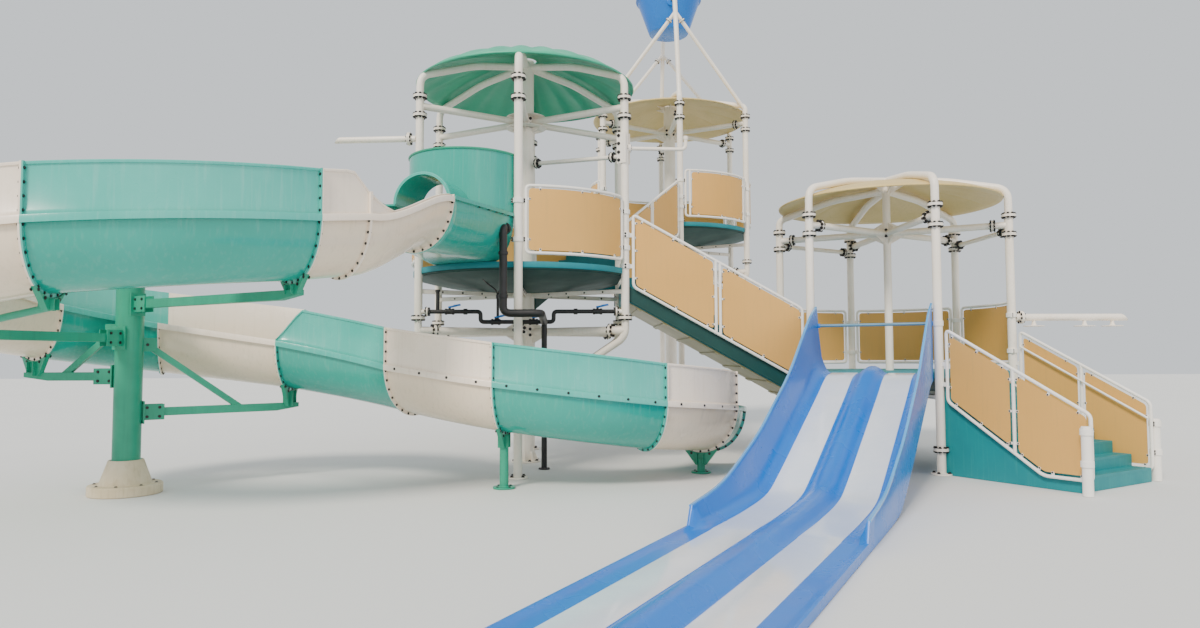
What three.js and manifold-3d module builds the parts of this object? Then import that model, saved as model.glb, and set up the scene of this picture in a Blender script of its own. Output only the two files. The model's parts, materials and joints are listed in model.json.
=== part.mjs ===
// Water play structure: three hexagonal towers joined by stairs, with an open flume, a two-lane
// racer slide and a tipping bucket. Millimetres, +Z up, feet on z = 0, front post of the tallest
// front tower towards -Y. The origin is under the central column of tower A.
import * as THREE from "three";
import { mergeVertices } from "three/addons/utils/BufferGeometryUtils.js";
import Module from "manifold-3d";

const wasm = await Module();
wasm.setup();

// Fits and sections shared by the whole structure
const GAP = 0.3; // between pieces that touch
const SINK = 8; // how far fused pieces run into each other
const POST_CIRCLE = 1900; // radius of the circle that the six posts stand on
const POST_R = 65;
const COLUMN_R = 135;
const COLUMN_SIDES = 12;
const POST_SIDES = 8;
const BEAM_SIDES = 6;
const FLANGE_R = 108;
const FLANGE_T = 22;
const SPACING = 6280; // between tower centres
const BEAM_R = 56;
const SLEEVE_T = 26;
const SLEEVE_H = 190;
const ARM_R = 60;
const ARM_BEND = 190;
const FOOT_R = 150;
const FOOT_T = 25;

// Towers: deck is the floor level, low and high are the two post flanges, rim and crown the roof
const SIDES = 6;
const A = {
  x: 0,
  y: 0,
  deck: 3190,
  low: 5650,
  high: 5960,
  rim: 6345,
  crown: 6888,
  hubLow: 6700,
  column: COLUMN_R,
};
const B = {
  x: SPACING / 2,
  y: (SPACING * Math.sqrt(3)) / 2,
  deck: 4700,
  low: 6990,
  high: 7300,
  rim: 7420,
  crown: 7790,
  hubLow: 7675,
  column: COLUMN_R,
};
const C = {
  x: SPACING,
  y: 0,
  deck: 1520,
  low: 3740,
  high: 4050,
  rim: 4360,
  crown: 4720,
  hubLow: 4565,
  column: POST_R,
};

// Finishes
const paint = (colour, roughness) =>
  new THREE.MeshStandardMaterial({ color: colour, roughness, metalness: 0.0 });
const CREAM_STEEL = paint("#ece4d8", 0.45);
const TEAL_DECK = paint("#007d85", 0.5);
const TEAL_SHELL = paint("#3fae9f", 0.3);
const CREAM_SHELL = paint("#ddd0bd", 0.3);
const TEAL_STEEL = paint("#2fa083", 0.45);
const TAN_PANEL = paint("#d9b77c", 0.6);
const CREAM_ROOF = paint("#d6c79c", 0.6);
const TEAL_ROOF = paint("#2f9a78", 0.5);
const BLUE_SHELL = paint("#0a78cc", 0.25);
const BLACK_PIPE = paint("#1c1c1e", 0.5);
const CONCRETE = paint("#dccfb6", 0.9);

// Small helpers
const at = (x, y, z) => new THREE.Vector3(x, y, z);
const rad = THREE.MathUtils.degToRad;

/** A closed three.js geometry as a solid that can be joined and cut. */
function solid(geometry) {
  const bare = geometry.clone();
  bare.deleteAttribute("normal");
  bare.deleteAttribute("uv");
  const merged = mergeVertices(bare, 1e-3);
  return new wasm.Manifold(
    new wasm.Mesh({
      numProp: 3,
      vertProperties: merged.attributes.position.array,
      triVerts: new Uint32Array(merged.index.array),
    }),
  );
}

/** The sum of several solids. */
const join = (...parts) => parts.flat().reduce((sum, part) => sum.add(part));

/** An upright box by its centre in plan, its size, its lowest level and its turn. */
function box(x, y, low, width, depth, height, turn = 0) {
  const g = new THREE.BoxGeometry(width, depth, height);
  g.translate(0, 0, height / 2);
  g.rotateZ(rad(turn));
  g.translate(x, y, low);
  return solid(g);
}

/** An upright cylinder or cone between two levels. */
function drum(x, y, low, high, radius, sides = 8, topRadius = radius) {
  const g = new THREE.CylinderGeometry(topRadius, radius, high - low, sides);
  g.rotateX(Math.PI / 2);
  g.translate(x, y, (low + high) / 2);
  return solid(g);
}

/** A straight round bar between two points. */
function bar(from, to, radius, sides = 8) {
  const along = to.clone().sub(from);
  const g = new THREE.CylinderGeometry(radius, radius, along.length(), sides);
  g.applyQuaternion(new THREE.Quaternion().setFromUnitVectors(at(0, 1, 0), along.normalize()));
  const middle = from.clone().add(to).multiplyScalar(0.5);
  g.translate(middle.x, middle.y, middle.z);
  return solid(g);
}

/** A rectangular bar between two points, its depth upright. */
function flatBar(from, to, width, depth) {
  const along = to.clone().sub(from);
  const g = new THREE.BoxGeometry(along.length(), width, depth);
  const pitch = Math.atan2(along.z, Math.hypot(along.x, along.y));
  g.rotateY(-pitch);
  g.rotateZ(Math.atan2(along.y, along.x));
  g.translate((from.x + to.x) / 2, (from.y + to.y) / 2, (from.z + to.z) / 2);
  return solid(g);
}

/** A line through given points, stepped exactly at them. */
class Route extends THREE.Curve {
  constructor(points) {
    super();
    this.points = points;
  }
  getPoint(t) {
    const place = t * (this.points.length - 1);
    const i = Math.min(Math.floor(place), this.points.length - 2);
    return this.points[i].clone().lerp(this.points[i + 1], place - i);
  }
  getPointAt(t) {
    return this.getPoint(t);
  }
  getTangentAt(t) {
    const i = Math.round(t * (this.points.length - 1));
    const direction = (k) => this.points[k + 1].clone().sub(this.points[k]).normalize();
    const before = direction(Math.max(i - 1, 0));
    const after = direction(Math.min(i, this.points.length - 2));
    return before.add(after).normalize();
  }
}

/** The corners of a route, rounded with a few steps each. */
function rounded(corners, bend, steps = 3) {
  const points = [corners[0]];
  for (let i = 1; i < corners.length - 1; i++) {
    const [a, b, c] = [corners[i - 1], corners[i], corners[i + 1]];
    const start = b.clone().add(a.clone().sub(b).setLength(bend));
    const end = b.clone().add(c.clone().sub(b).setLength(bend));
    const turn = new THREE.QuadraticBezierCurve3(start, b, end);
    points.push(...turn.getPoints(steps));
  }
  points.push(corners.at(-1));
  return points;
}

/** A round tube along a route of corners with rounded bends. */
function pipe(corners, radius, bend, sides = 6, steps = 1) {
  const points = rounded(corners, bend, steps);
  const section = new THREE.Shape();
  section.absarc(0, 0, radius, 0, 2 * Math.PI);
  const g = new THREE.ExtrudeGeometry(section, {
    steps: points.length - 1,
    curveSegments: sides / 2,
    extrudePath: new Route(points),
  });
  return solid(g);
}

/** An outline carried along a path: place turns (across, up, share of the way) into a point. */
function sweep(outline, steps, place, holes = []) {
  const ring = (points) => points.map(([u, v]) => new THREE.Vector2(u, v));
  const shape = new THREE.Shape(ring(outline));
  shape.holes = holes.map((hole) => new THREE.Path(ring(hole)));
  const g = new THREE.ExtrudeGeometry(shape, { depth: 1, steps, bevelEnabled: false });
  const p = g.attributes.position;
  for (let i = 0; i < p.count; i++) {
    const q = place(p.getX(i), p.getY(i), p.getZ(i));
    p.setXYZ(i, q.x, q.y, q.z);
  }
  return solid(g);
}

const group = new THREE.Group();

/** Adds a solid to the part as a named mesh. */
function add(name, shape, material) {
  const { vertProperties, triVerts } = shape.getMesh();
  const g = new THREE.BufferGeometry();
  g.setAttribute("position", new THREE.BufferAttribute(vertProperties, 3));
  g.setIndex(new THREE.BufferAttribute(triVerts, 1));
  g.computeVertexNormals();
  const mesh = new THREE.Mesh(g, material);
  mesh.name = name;
  group.add(mesh);
}

// Towers
/** A point on the post circle of a tower, or on another radius, by corner number. */
function corner(tower, i, level, radius = POST_CIRCLE) {
  const a = rad(-90 + (360 / SIDES) * i);
  return at(tower.x + radius * Math.cos(a), tower.y + radius * Math.sin(a), level);
}

/** A point near a tower side: out from its middle, and along it to the left as seen from outside. */
function beside(tower, side, out, along, level) {
  const a = rad(-60 + (360 / SIDES) * side);
  const reach = POST_CIRCLE * Math.cos(Math.PI / SIDES) + out;
  return at(
    tower.x + reach * Math.cos(a) + along * Math.sin(a),
    tower.y + reach * Math.sin(a) - along * Math.cos(a),
    level,
  );
}

const SIDE_LENGTH = POST_CIRCLE; // of a regular hexagon

/** The central column on its base plate. */
function column(tower, top) {
  return join(
    drum(tower.x, tower.y, 0, top, tower.column, COLUMN_SIDES),
    drum(tower.x, tower.y, 0, FOOT_T, tower.column + 110, COLUMN_SIDES),
  );
}

/** The outside of a sleeve round the central column at a level. */
function sleeve(tower, level) {
  const reach = SLEEVE_H / 2;
  return drum(tower.x, tower.y, level - reach, level + reach, tower.column + SLEEVE_T, COLUMN_SIDES);
}

/** The room that the central column takes, with its fit. */
function columnRoom(tower) {
  return drum(tower.x, tower.y, -10, tower.high + 400, tower.column + GAP, COLUMN_SIDES);
}

/** The room that some posts take, with their fit. */
function postRoom(tower, corners = [0, 1, 2, 3, 4, 5]) {
  const posts = corners.map((i) => {
    const { x, y } = corner(tower, i, 0);
    return drum(x, y, 30, tower.high, POST_R + GAP);
  });
  return join(posts);
}

/** A radial beam from the column sleeve to a post. */
function radial(tower, i, level, radius = BEAM_R) {
  const start = tower.column + SLEEVE_T - SINK;
  return bar(corner(tower, i, level, start), corner(tower, i, level), radius, BEAM_SIDES);
}

/** A post with a foot plate or a flange at its foot and a flange at its head, turned in one piece. */
function post(tower, i, foot) {
  const [plate, plateT] = foot > 0 ? [FLANGE_R, FLANGE_T] : [FOOT_R, FOOT_T];
  const head = tower.high - GAP;
  const profile = [
    [0, foot],
    [plate, foot],
    [plate, foot + plateT],
    [POST_R, foot + plateT],
    [POST_R, head - FLANGE_T],
    [FLANGE_R, head - FLANGE_T],
    [FLANGE_R, head],
    [0, head],
  ].map(([r, z]) => new THREE.Vector2(r, z));
  const g = new THREE.LatheGeometry(profile, POST_SIDES);
  g.rotateX(Math.PI / 2);
  const { x, y } = corner(tower, i, 0);
  g.translate(x, y, 0);
  return solid(g);
}

/** Six posts with their flanges, tied to the column by six radial beams. */
function postFrame(tower, feet, extras = []) {
  const level = (tower.low + tower.high) / 2;
  const parts = [sleeve(tower, level)];
  for (let i = 0; i < SIDES; i++) {
    parts.push(post(tower, i, feet[i]), radial(tower, i, level));
  }
  return join(parts, extras).subtract(columnRoom(tower));
}

/** Curved roof arms from the posts' flanges to a hub over the column, in sets of equal levels. */
function roofArms(tower, hubTop, sets) {
  const parts = [drum(tower.x, tower.y, tower.hubLow, hubTop, tower.column + 5, COLUMN_SIDES)];
  for (const { posts, shoulder, knee, hub } of sets) {
    for (const i of posts) {
      const { x, y } = corner(tower, i, 0);
      const corners = [
        corner(tower, i, tower.high),
        corner(tower, i, shoulder),
        corner(tower, i, knee, POST_CIRCLE / 2),
        corner(tower, i, hub, tower.column - 10),
      ];
      parts.push(pipe(corners, ARM_R, ARM_BEND));
      parts.push(drum(x, y, tower.high, tower.high + FLANGE_T, FLANGE_R));
    }
  }
  return join(parts);
}

/** A shallow round roof shell: a parabola from crown to rim, with pleats that grow to the rim. */
function roofShell(tower, radius, thickness, pleats, pleatDepth) {
  const flat = 180;
  const rings = pleatDepth > 0 ? 3 : 2;
  const underside = [];
  for (let k = 0; k <= rings; k++) {
    const r = flat + ((radius - flat) * k) / rings;
    const share = (r ** 2 - flat ** 2) / (radius ** 2 - flat ** 2);
    underside.push([r, tower.crown - (tower.crown - tower.rim) * share]);
  }
  const profile = [[0, underside[0][1]], ...underside];
  const top = profile.map(([r, z]) => [r, z + thickness]).reverse();
  const outline = [...profile, ...top].map(([r, z]) => new THREE.Vector2(r, z));
  const g = new THREE.LatheGeometry(outline, pleats * 2);
  g.rotateX(Math.PI / 2);
  const p = g.attributes.position;
  for (let i = 0; i < p.count; i++) {
    const r = Math.hypot(p.getX(i), p.getY(i));
    const turn = Math.atan2(p.getY(i), p.getX(i));
    const swell = pleatDepth * Math.max(0, (r - flat) / (radius - flat)) ** 2;
    p.setZ(i, p.getZ(i) + swell * (1 + Math.cos(pleats * turn)) * 0.5);
  }
  g.translate(tower.x, tower.y, 0);
  return solid(g);
}

/** A point on the circle through a tower's posts, by side, share of the side from its first post. */
function onArc(tower, side, share, out, level) {
  return corner(tower, side + share, level, POST_CIRCLE + out);
}

const ARC_CHORDS = 4; // straight steps that stand for a curved side
const DECK_INSET = 20;
// Layers of a deck from the floor down: top and bottom under the floor, and how far each is set in
const DECK_LAYERS = [
  { top: 0, bottom: 110, topInset: 0, bottomInset: 0 },
  { top: 110 - SINK, bottom: 230, topInset: 60, bottomInset: 520 },
  { top: 230 - SINK, bottom: 340, topInset: 700, bottomInset: 1150 },
];

/** A deck with bowed edges at the given sides: a floor slab over a tapering underside. */
function deck(tower, bowed) {
  const outline = [];
  for (let side = 0; side < SIDES; side++) {
    const chords = bowed.includes(side) ? ARC_CHORDS : 1;
    for (let k = 0; k < chords; k++) {
      const p = onArc(tower, side, k / chords, -DECK_INSET, 0);
      outline.push([p.x - tower.x, p.y - tower.y]);
    }
  }
  const reach = POST_CIRCLE - DECK_INSET;
  const layers = DECK_LAYERS.map(({ top, bottom, topInset, bottomInset }) =>
    sweep(outline, 1, (u, v, share) => {
      const scale = 1 - (bottomInset + (topInset - bottomInset) * share) / reach;
      const level = tower.deck - bottom + (bottom - top) * share;
      return at(tower.x + u * scale, tower.y + v * scale, level);
    }),
  );
  return join(layers).subtract(postRoom(tower)).subtract(columnRoom(tower));
}

/** Beams under a deck: straight radials, and side posts that knee back to the column. */
function deckFrame(tower, joint, level, kneeTop, kneeFoot) {
  const parts = [sleeve(tower, level), sleeve(tower, kneeFoot + 60)];
  for (let i = 0; i < SIDES; i++) {
    parts.push(
      i % 3 === 0
        ? bar(
            corner(tower, i, level, tower.column + SLEEVE_T - SINK),
            corner(tower, i, level, POST_CIRCLE - POST_R - GAP),
            BEAM_R,
            BEAM_SIDES,
          )
        : radial(tower, i, level, POST_R),
    );
    if (i % 3 === 0) continue;
    const { x, y } = corner(tower, i, 0);
    parts.push(drum(x, y, joint - FLANGE_T, joint - GAP, FLANGE_R));
    parts.push(
      pipe(
        [
          corner(tower, i, joint - GAP),
          corner(tower, i, kneeTop),
          corner(tower, i, kneeFoot, tower.column + SLEEVE_T / 2),
        ],
        POST_R - 6,
        230,
      ),
    );
  }
  return join(parts).subtract(columnRoom(tower));
}

// Guards
const GUARD_LOW = 120;
const GUARD_HIGH = 1130;
const GUARD_R = 24;
const PANEL_T = 12;
const CLAMP_LEVELS = [320, 900];
const CLAMP_T = 20;
const CLAMP_H = 70;

/** A panel in its frame: an outline with pockets on both faces, set on a plane by place. */
function framedPanel(outline, pockets, place) {
  const layer = (shape, from, to) => sweep(shape, 1, (u, v, share) => place(u, v, from + (to - from) * share));
  const cuts = pockets.flatMap((pocket) => [
    layer(pocket, -GUARD_R - 1, -PANEL_T / 2),
    layer(pocket, PANEL_T / 2, GUARD_R + 1),
  ]);
  return layer(outline, -GUARD_R, GUARD_R).subtract(join(cuts));
}

/** A clamp that holds a guard or a rail on a post. */
function clamp(tower, i, level) {
  const { x, y } = corner(tower, i, 0);
  return drum(x, y, level - CLAMP_H / 2, level + CLAMP_H / 2, POST_R + CLAMP_T, POST_SIDES);
}

const GUARD_SETBACK = 115; // along the arc, from a post's centre to the centre of the guard's end
const STUB_W = 30;
const STUB_H = 50;

/**
 * One guard bowed between two posts, with stubs that reach into the clamps. Its outline goes along
 * the arc; the panel's faces lie back from the frame's except at the two end uprights.
 */
function guard(tower, side) {
  const arc = (POST_CIRCLE * 2 * Math.PI) / SIDES;
  const spot = (along, out, up) => onArc(tower, side, along / arc, out, tower.deck + up);
  const panel = [GUARD_LOW + GUARD_R, GUARD_HIGH - GUARD_R];
  const edge = [GUARD_LOW - GUARD_R, ...panel, GUARD_HIGH + GUARD_R];
  const face = (sign) => [
    [sign * GUARD_R, edge[0]],
    [sign * GUARD_R, edge[1]],
    [sign * (PANEL_T / 2), edge[1]],
    [sign * (PANEL_T / 2), edge[2]],
    [sign * GUARD_R, edge[2]],
    [sign * GUARD_R, edge[3]],
  ];
  const outline = [...face(1), ...face(-1).reverse()];
  const near = GUARD_SETBACK + GUARD_R;
  const span = arc - 2 * near;
  const bows = Array.from({ length: ARC_CHORDS + 1 }, (_, k) => [near + (span * k) / ARC_CHORDS, 0]);
  const stations = [
    [near - 2 * GUARD_R, 1],
    [near, 1],
    ...bows,
    [arc - near, 1],
    [arc - near + 2 * GUARD_R, 1],
  ].reverse();
  const frame = sweep(outline, stations.length - 1, (out, up, share) => {
    const [along, upright] = stations[Math.round(share * (stations.length - 1))];
    const thick = upright ? Math.sign(out) * GUARD_R : out;
    return spot(along, thick, up);
  });
  const stubs = CLAMP_LEVELS.flatMap((up) =>
    [0, arc].map((post) => {
      const inward = post === 0 ? 1 : -1;
      const from = spot(post + inward * GUARD_SETBACK, 0, up);
      return flatBar(from, spot(post + inward * (POST_R + CLAMP_T / 2), 0, up), STUB_W, STUB_H);
    }),
  );
  return join(frame, stubs);
}

/** Neighbouring guards with the clamps that hold them on the posts. */
function guards(tower, sides) {
  const corners = [...sides, sides.at(-1) + 1];
  const clamps = corners.flatMap((i) => CLAMP_LEVELS.map((up) => clamp(tower, i, tower.deck + up)));
  return join(
    sides.map((side) => guard(tower, side)),
    clamps,
  ).subtract(postRoom(tower, corners));
}

// Stairs
const STAIR_HALF = 900; // half the width over the treads
const STRINGER_DROP = 260; // stringer's top edge under the line of the nosings
const STRINGER_H = 240;
const RAIL_OVER = 960;

/** A flight from a tower side: treads, stringers and soffit in one moulding. */
function flight(tower, side, run, top, bottom, steps, soffitDrop) {
  const rise = (top - bottom) / steps;
  const going = run / (steps - 1);
  const outline = [];
  for (let k = 0; k < steps - 1; k++) {
    outline.push([k * going, top - (k + 1) * rise], [(k + 1) * going, top - (k + 1) * rise]);
  }
  outline.unshift([0, top - rise - soffitDrop]);
  outline.push([run, bottom + rise - soffitDrop]);
  const place = (out, level, share) =>
    beside(tower, side, out, STAIR_HALF * (2 * share - 1), level);
  return sweep(outline, 1, place);
}

/** A stringer plate along a flight on one side. */
function stringer(tower, side, run, top, bottom, left) {
  const drop = STRINGER_DROP;
  const outline = [
    [GAP, top - drop],
    [run - GAP, bottom - drop],
    [run - GAP, bottom - drop - STRINGER_H],
    [GAP, top - drop - STRINGER_H],
  ];
  return sweep(outline, 1, (out, level, share) =>
    beside(tower, side, out, left + 50 * (share - 0.5), level),
  );
}

/** A stair side: a frame along the slope, a middle post and a panel in two bays. */
function stairSide(tower, side, left, { start, end, levels }) {
  const [low0, high0, low1, high1] = levels;
  const mid = (start + end) / 2;
  const low = (out) => low0 + ((low1 - low0) * (out - start)) / (end - start);
  const high = (out) => high0 + ((high1 - high0) * (out - start)) / (end - start);
  const t = 2 * GUARD_R;
  const bay = (from, to) => [
    [from, low(from) + t],
    [to, low(to) + t],
    [to, high(to) - t],
    [from, high(from) - t],
  ];
  const outline = [
    [start, low0],
    [end, low1],
    [end, high1],
    [start, high0],
  ];
  return framedPanel(
    outline,
    [bay(start + t, mid - t / 2), bay(mid + t / 2, end - t)],
    (out, level, thick) => beside(tower, side, out, left + thick, level),
  );
}

/** Stubs from a stair side's frame to the post beside it. */
function stubs(tower, side, left, out, levels, reach) {
  const inset = Math.sign(reach) * -20;
  return levels.map((level) =>
    flatBar(
      beside(tower, side, out + inset, left, level),
      beside(tower, side, out + reach, left, level),
      40,
      60,
    ),
  );
}

/** A whole stair between two towers, with its two sides. */
function towerStair(name, from, side, to, toDeckLevel, fromDeckLevel) {
  const run = SPACING - 2 * POST_CIRCLE * Math.cos(Math.PI / SIDES);
  const steps = 11;
  const treads = flight(from, side, run, fromDeckLevel, toDeckLevel, steps, STRINGER_DROP + 130);
  const body = join(
    treads,
    stringer(from, side, run, fromDeckLevel, toDeckLevel, STAIR_HALF - 20),
    stringer(from, side, run, fromDeckLevel, toDeckLevel, -STAIR_HALF + 20),
  );
  add(`${name}_flight`, body.subtract(postRoom(from)).subtract(postRoom(to)), TEAL_DECK);
  const slope = (toDeckLevel - fromDeckLevel) / run;
  const start = POST_R + 45;
  const end = run - POST_R - 45;
  const line = (out) => fromDeckLevel + slope * out;
  const railLow = GAP - STRINGER_DROP;
  for (const [hand, left] of [
    ["left", SIDE_LENGTH / 2],
    ["right", -SIDE_LENGTH / 2],
  ]) {
    const ends = {
      start,
      end,
      levels: [line(start) + railLow, line(start) + RAIL_OVER, line(end) + railLow, line(end) + RAIL_OVER],
    };
    const reach = 45 + SINK;
    const frame = join(
      stairSide(from, side, left, ends),
      stubs(from, side, left, start, [line(start) + 100, line(start) + 600], -reach),
      stubs(from, side, left, end, [line(end) + 100, line(end) + 600], reach),
    );
    add(`${name}_${hand}_side`, frame.subtract(postRoom(from)).subtract(postRoom(to)), TAN_PANEL);
  }
}

// Flume
const TROUGH_W = 530; // half width at the flange
const TROUGH_D = 660; // depth to the flange
const TROUGH_T = 18;
const TROUGH_LIP = 62;
const WALL_H = 520; // high wall over the flange on the outside of curves
const RING_OUT = 56;
const RING_T = 14;
const ARC_STEPS = 6;
const ARC_TURN = 14; // degrees of turn a step
const EASED_BENDS = 5;
const FLUME_START = { x: -1300, y: -3060, z: 3210, heading: 251.5 };
const LOW = 0.04; // share of a wall that is all but gone
const FULL = [[0, 1], [1, 1]];
const SINKING = [[0, 1], [1, LOW]];
const RISING = [[0, LOW], [0.2, 1], [1, 1]];
const SLANTING = [[0, LOW], [0.78, LOW], [1, 0.5]];
// One entry a moulded piece: colour, length, turn to the left, fall, and the high walls' share of
// their full height at shares of the piece. An eased piece starts and ends level.
const FLUME_PIECES = [
  { shell: CREAM_SHELL, length: 1330, turn: -21, fall: 470, left: SLANTING, eased: true },
  { shell: CREAM_SHELL, length: 600, turn: -3, fall: 90, left: [[0, 0.5], [0.36, 1], [1, 1]] },
  { shell: TEAL_SHELL, length: 2330, turn: -40, fall: 230, left: FULL },
  { shell: CREAM_SHELL, length: 1410, turn: -42, fall: 210, left: FULL },
  { shell: TEAL_SHELL, length: 1410, turn: -42, fall: 210, left: FULL },
  { shell: CREAM_SHELL, length: 1410, turn: -42, fall: 210, left: FULL },
  { shell: TEAL_SHELL, length: 1560, turn: -42, fall: 210, left: FULL },
  { shell: CREAM_SHELL, length: 1770, turn: -21, fall: 240, left: FULL },
  { shell: TEAL_SHELL, length: 2080, turn: -32, fall: 340, left: SINKING, right: RISING },
  { shell: CREAM_SHELL, length: 1440, turn: 22, fall: 220, right: FULL },
  { shell: TEAL_SHELL, length: 1980, turn: 40, fall: 280, right: FULL },
  { shell: CREAM_SHELL, length: 1430, turn: 37, fall: 140, right: FULL },
  { shell: TEAL_SHELL, length: 900, turn: 12, fall: 90 },
];

/** Where a piece of the flume lies: its start, turned along an arc by a share of its length. */
function along(piece, start, share) {
  const turn = rad(piece.turn) * share;
  const heading = rad(start.heading);
  const chord = turn === 0 ? piece.length * share : ((2 * piece.length * share) / turn) * Math.sin(turn / 2);
  return {
    x: start.x + chord * Math.cos(heading + turn / 2),
    y: start.y + chord * Math.sin(heading + turn / 2),
    z: start.z - piece.fall * (piece.eased ? share * share * (3 - 2 * share) : share),
    heading: start.heading + piece.turn * share,
  };
}

/** The start of every flume piece, and the end of the last one. */
const flumeJoints = FLUME_PIECES.reduce(
  (joints, piece) => [...joints, along(piece, joints.at(-1), 1)],
  [FLUME_START],
);

/** One point of a section at a joint or along a piece. */
function inSection(place, left, up) {
  const a = rad(place.heading);
  return at(place.x - left * Math.sin(a), place.y + left * Math.cos(a), place.z + up);
}

/** Half ellipse of the trough, grown outwards by some amount, from left to right. */
function troughArc(grow) {
  const points = [];
  for (let k = 0; k <= ARC_STEPS; k++) {
    const a = (Math.PI * k) / ARC_STEPS;
    points.push([(TROUGH_W + grow) * Math.cos(a), TROUGH_D - (TROUGH_D + grow) * Math.sin(a)]);
  }
  return points;
}

/**
 * The outline of a piece of trough as [left, up, outward left, outward up]: the last two say which
 * way a point moves where the outside grows into the bolted ring at the piece's ends.
 */
function troughOutline(leftHigh, rightHigh) {
  const edge = (side, high) => {
    const t = TROUGH_T;
    const top = high ? TROUGH_D + WALL_H : TROUGH_D;
    const points = [
      [TROUGH_W + t, TROUGH_D - t, RING_OUT - t, 0],
      [TROUGH_W + TROUGH_LIP, TROUGH_D - t, 0, 0],
    ];
    if (high) {
      points.push([TROUGH_W + TROUGH_LIP, TROUGH_D + t, 0, 0]);
      points.push([TROUGH_W + t, TROUGH_D + t, RING_OUT - t, 0]);
      points.push([TROUGH_W + t, top, RING_OUT - t, 0]);
      points.push([TROUGH_W, top, 0, 0]);
    } else {
      points.push([TROUGH_W + TROUGH_LIP, TROUGH_D, 0, 0]);
    }
    return points.map(([u, v, du, dv]) => [side * u, v, side * du, dv]);
  };
  const inner = troughArc(0).map(([u, v]) => [u, v, 0, 0]);
  const grown = troughArc(RING_OUT);
  const outer = troughArc(TROUGH_T).map(([u, v], k) => [u, v, grown[k][0] - u, grown[k][1] - v]);
  return [...edge(1, leftHigh), ...inner, ...edge(-1, rightHigh).reverse(), ...outer.slice(1, -1).reverse()];
}

/** A moulded piece of the flume with a bolted ring at each end, in one sweep. */
function flumePiece(piece, start) {
  const outline = troughOutline(Boolean(piece.left), Boolean(piece.right));
  const inset = GAP / 2 / piece.length;
  const ring = RING_T / piece.length;
  const bends = piece.eased ? EASED_BENDS : Math.max(2, Math.round(Math.abs(piece.turn) / ARC_TURN));
  const between = Array.from({ length: bends - 1 }, (_, k) => (k + 1) / bends);
  const kinks = [piece.left, piece.right].flatMap((wall) => (wall ?? []).slice(1, -1).map(([share]) => share));
  const middle = [...new Set([...between, ...kinks])].sort((a, b) => a - b);
  const stations = [
    [inset, 1],
    [ring, 1],
    [ring, 0],
    ...middle.map((share) => [share, 0]),
    [1 - ring, 0],
    [1 - ring, 1],
    [1 - inset, 1],
  ];
  const wall = (u, share) => {
    const line = (u > 0 ? piece.left : piece.right) ?? FULL;
    const i = Math.max(1, line.findIndex(([at]) => at >= share - 1e-6));
    const [[from, low], [to, high]] = [line[i - 1], line[i]];
    return low + ((high - low) * (share - from)) / (to - from);
  };
  const g = new THREE.ExtrudeGeometry(new THREE.Shape(outline.map(([u, v]) => new THREE.Vector2(u, v))), {
    depth: 1,
    steps: stations.length - 1,
    bevelEnabled: false,
  });
  const p = g.attributes.position;
  for (let i = 0; i < p.count; i++) {
    const [share, grow] = stations[Math.round(p.getZ(i) * (stations.length - 1))];
    const [u0, v0] = [p.getX(i), p.getY(i)];
    const [, , du, dv] = outline.find(([u, v]) => Math.hypot(u - u0, v - v0) < 0.01);
    const over = Math.max(0, v0 - TROUGH_D - TROUGH_T);
    const up = v0 - over + over * wall(u0, share) + dv * grow;
    const q = inSection(along(piece, start, share), u0 + du * grow, up);
    p.setXYZ(i, q.x, q.y, q.z);
  }
  return solid(g);
}

// Flume supports
const MAST = { x: -5060, y: -2950, radius: 168, top: 2780 };
const PAD_R = 440;
const PAD_H = 130;
const CONE_H = 440;
const ARM_W = 95;
const ARM_D = 110;
const SADDLE_T = 60;

/** A cradle under the bolted rings of a flume joint, narrowing down to a level. */
function saddle(joint, level, footHalf = 110) {
  const { fall, length } = FLUME_PIECES[flumeJoints.indexOf(joint)];
  const arc = troughArc(RING_OUT).slice(2, 5).map(([u, v]) => [u, v - GAP - RING_T * (fall / length)]);
  const low = level - joint.z;
  const outline = [[footHalf, low], ...arc, [-footHalf, low]];
  const forward = at(Math.cos(rad(joint.heading)), Math.sin(rad(joint.heading)), 0);
  return sweep(outline, 1, (u, v, share) =>
    inSection(joint, u, v).addScaledVector(forward, SADDLE_T * (share - 0.5)),
  );
}

/** A steel arm from the flume's mast to the saddle under one of its joints, with its brace. */
function mastArm(joint, level, braceLevel = 0, braceShare = 0) {
  const root = at(MAST.x, MAST.y, level);
  const tip = at(joint.x, joint.y, level);
  const out = tip.clone().sub(root).setLength(1);
  const parts = [flatBar(root, tip.clone().addScaledVector(out, 120), ARM_W, ARM_D), saddle(joint, level)];
  if (braceLevel > 0) {
    parts.push(flatBar(at(MAST.x, MAST.y, braceLevel), root.clone().lerp(tip, braceShare), 60, 80));
  }
  return parts;
}

/** The flume's mast with its four arms; the second arm's end also props the joint before it. */
function mast() {
  const [, , second, third, fourth, , sixth, , eighth] = flumeJoints;
  return join(
    drum(MAST.x, MAST.y, CONE_H, MAST.top, MAST.radius, 12),
    mastArm(second, 2475),
    mastArm(fourth, 2030),
    mastArm(sixth, 1530, 2300, 0.7),
    mastArm(eighth, 1050, 2100, 0.68),
    flatBar(at(fourth.x, fourth.y, 2030), at(third.x, third.y, third.z - 150), 60, 60),
    saddle(third, third.z - 180, 80),
  );
}

/** The mast's cast footing: a round pad under a cone. */
const footing = () =>
  join(
    drum(MAST.x, MAST.y, 0, PAD_H, PAD_R, 12),
    drum(MAST.x, MAST.y, PAD_H - SINK, CONE_H - GAP, 310, 12, 205),
  );

/** A short leg from the floor to a saddle under a low joint. */
const lowSupport = (joint) =>
  join(
    saddle(joint, Math.max(joint.z - 240, 60), 80),
    drum(joint.x, joint.y, 0, joint.z - 150, 60),
    drum(joint.x, joint.y, 0, FOOT_T, FOOT_R),
  );

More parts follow.
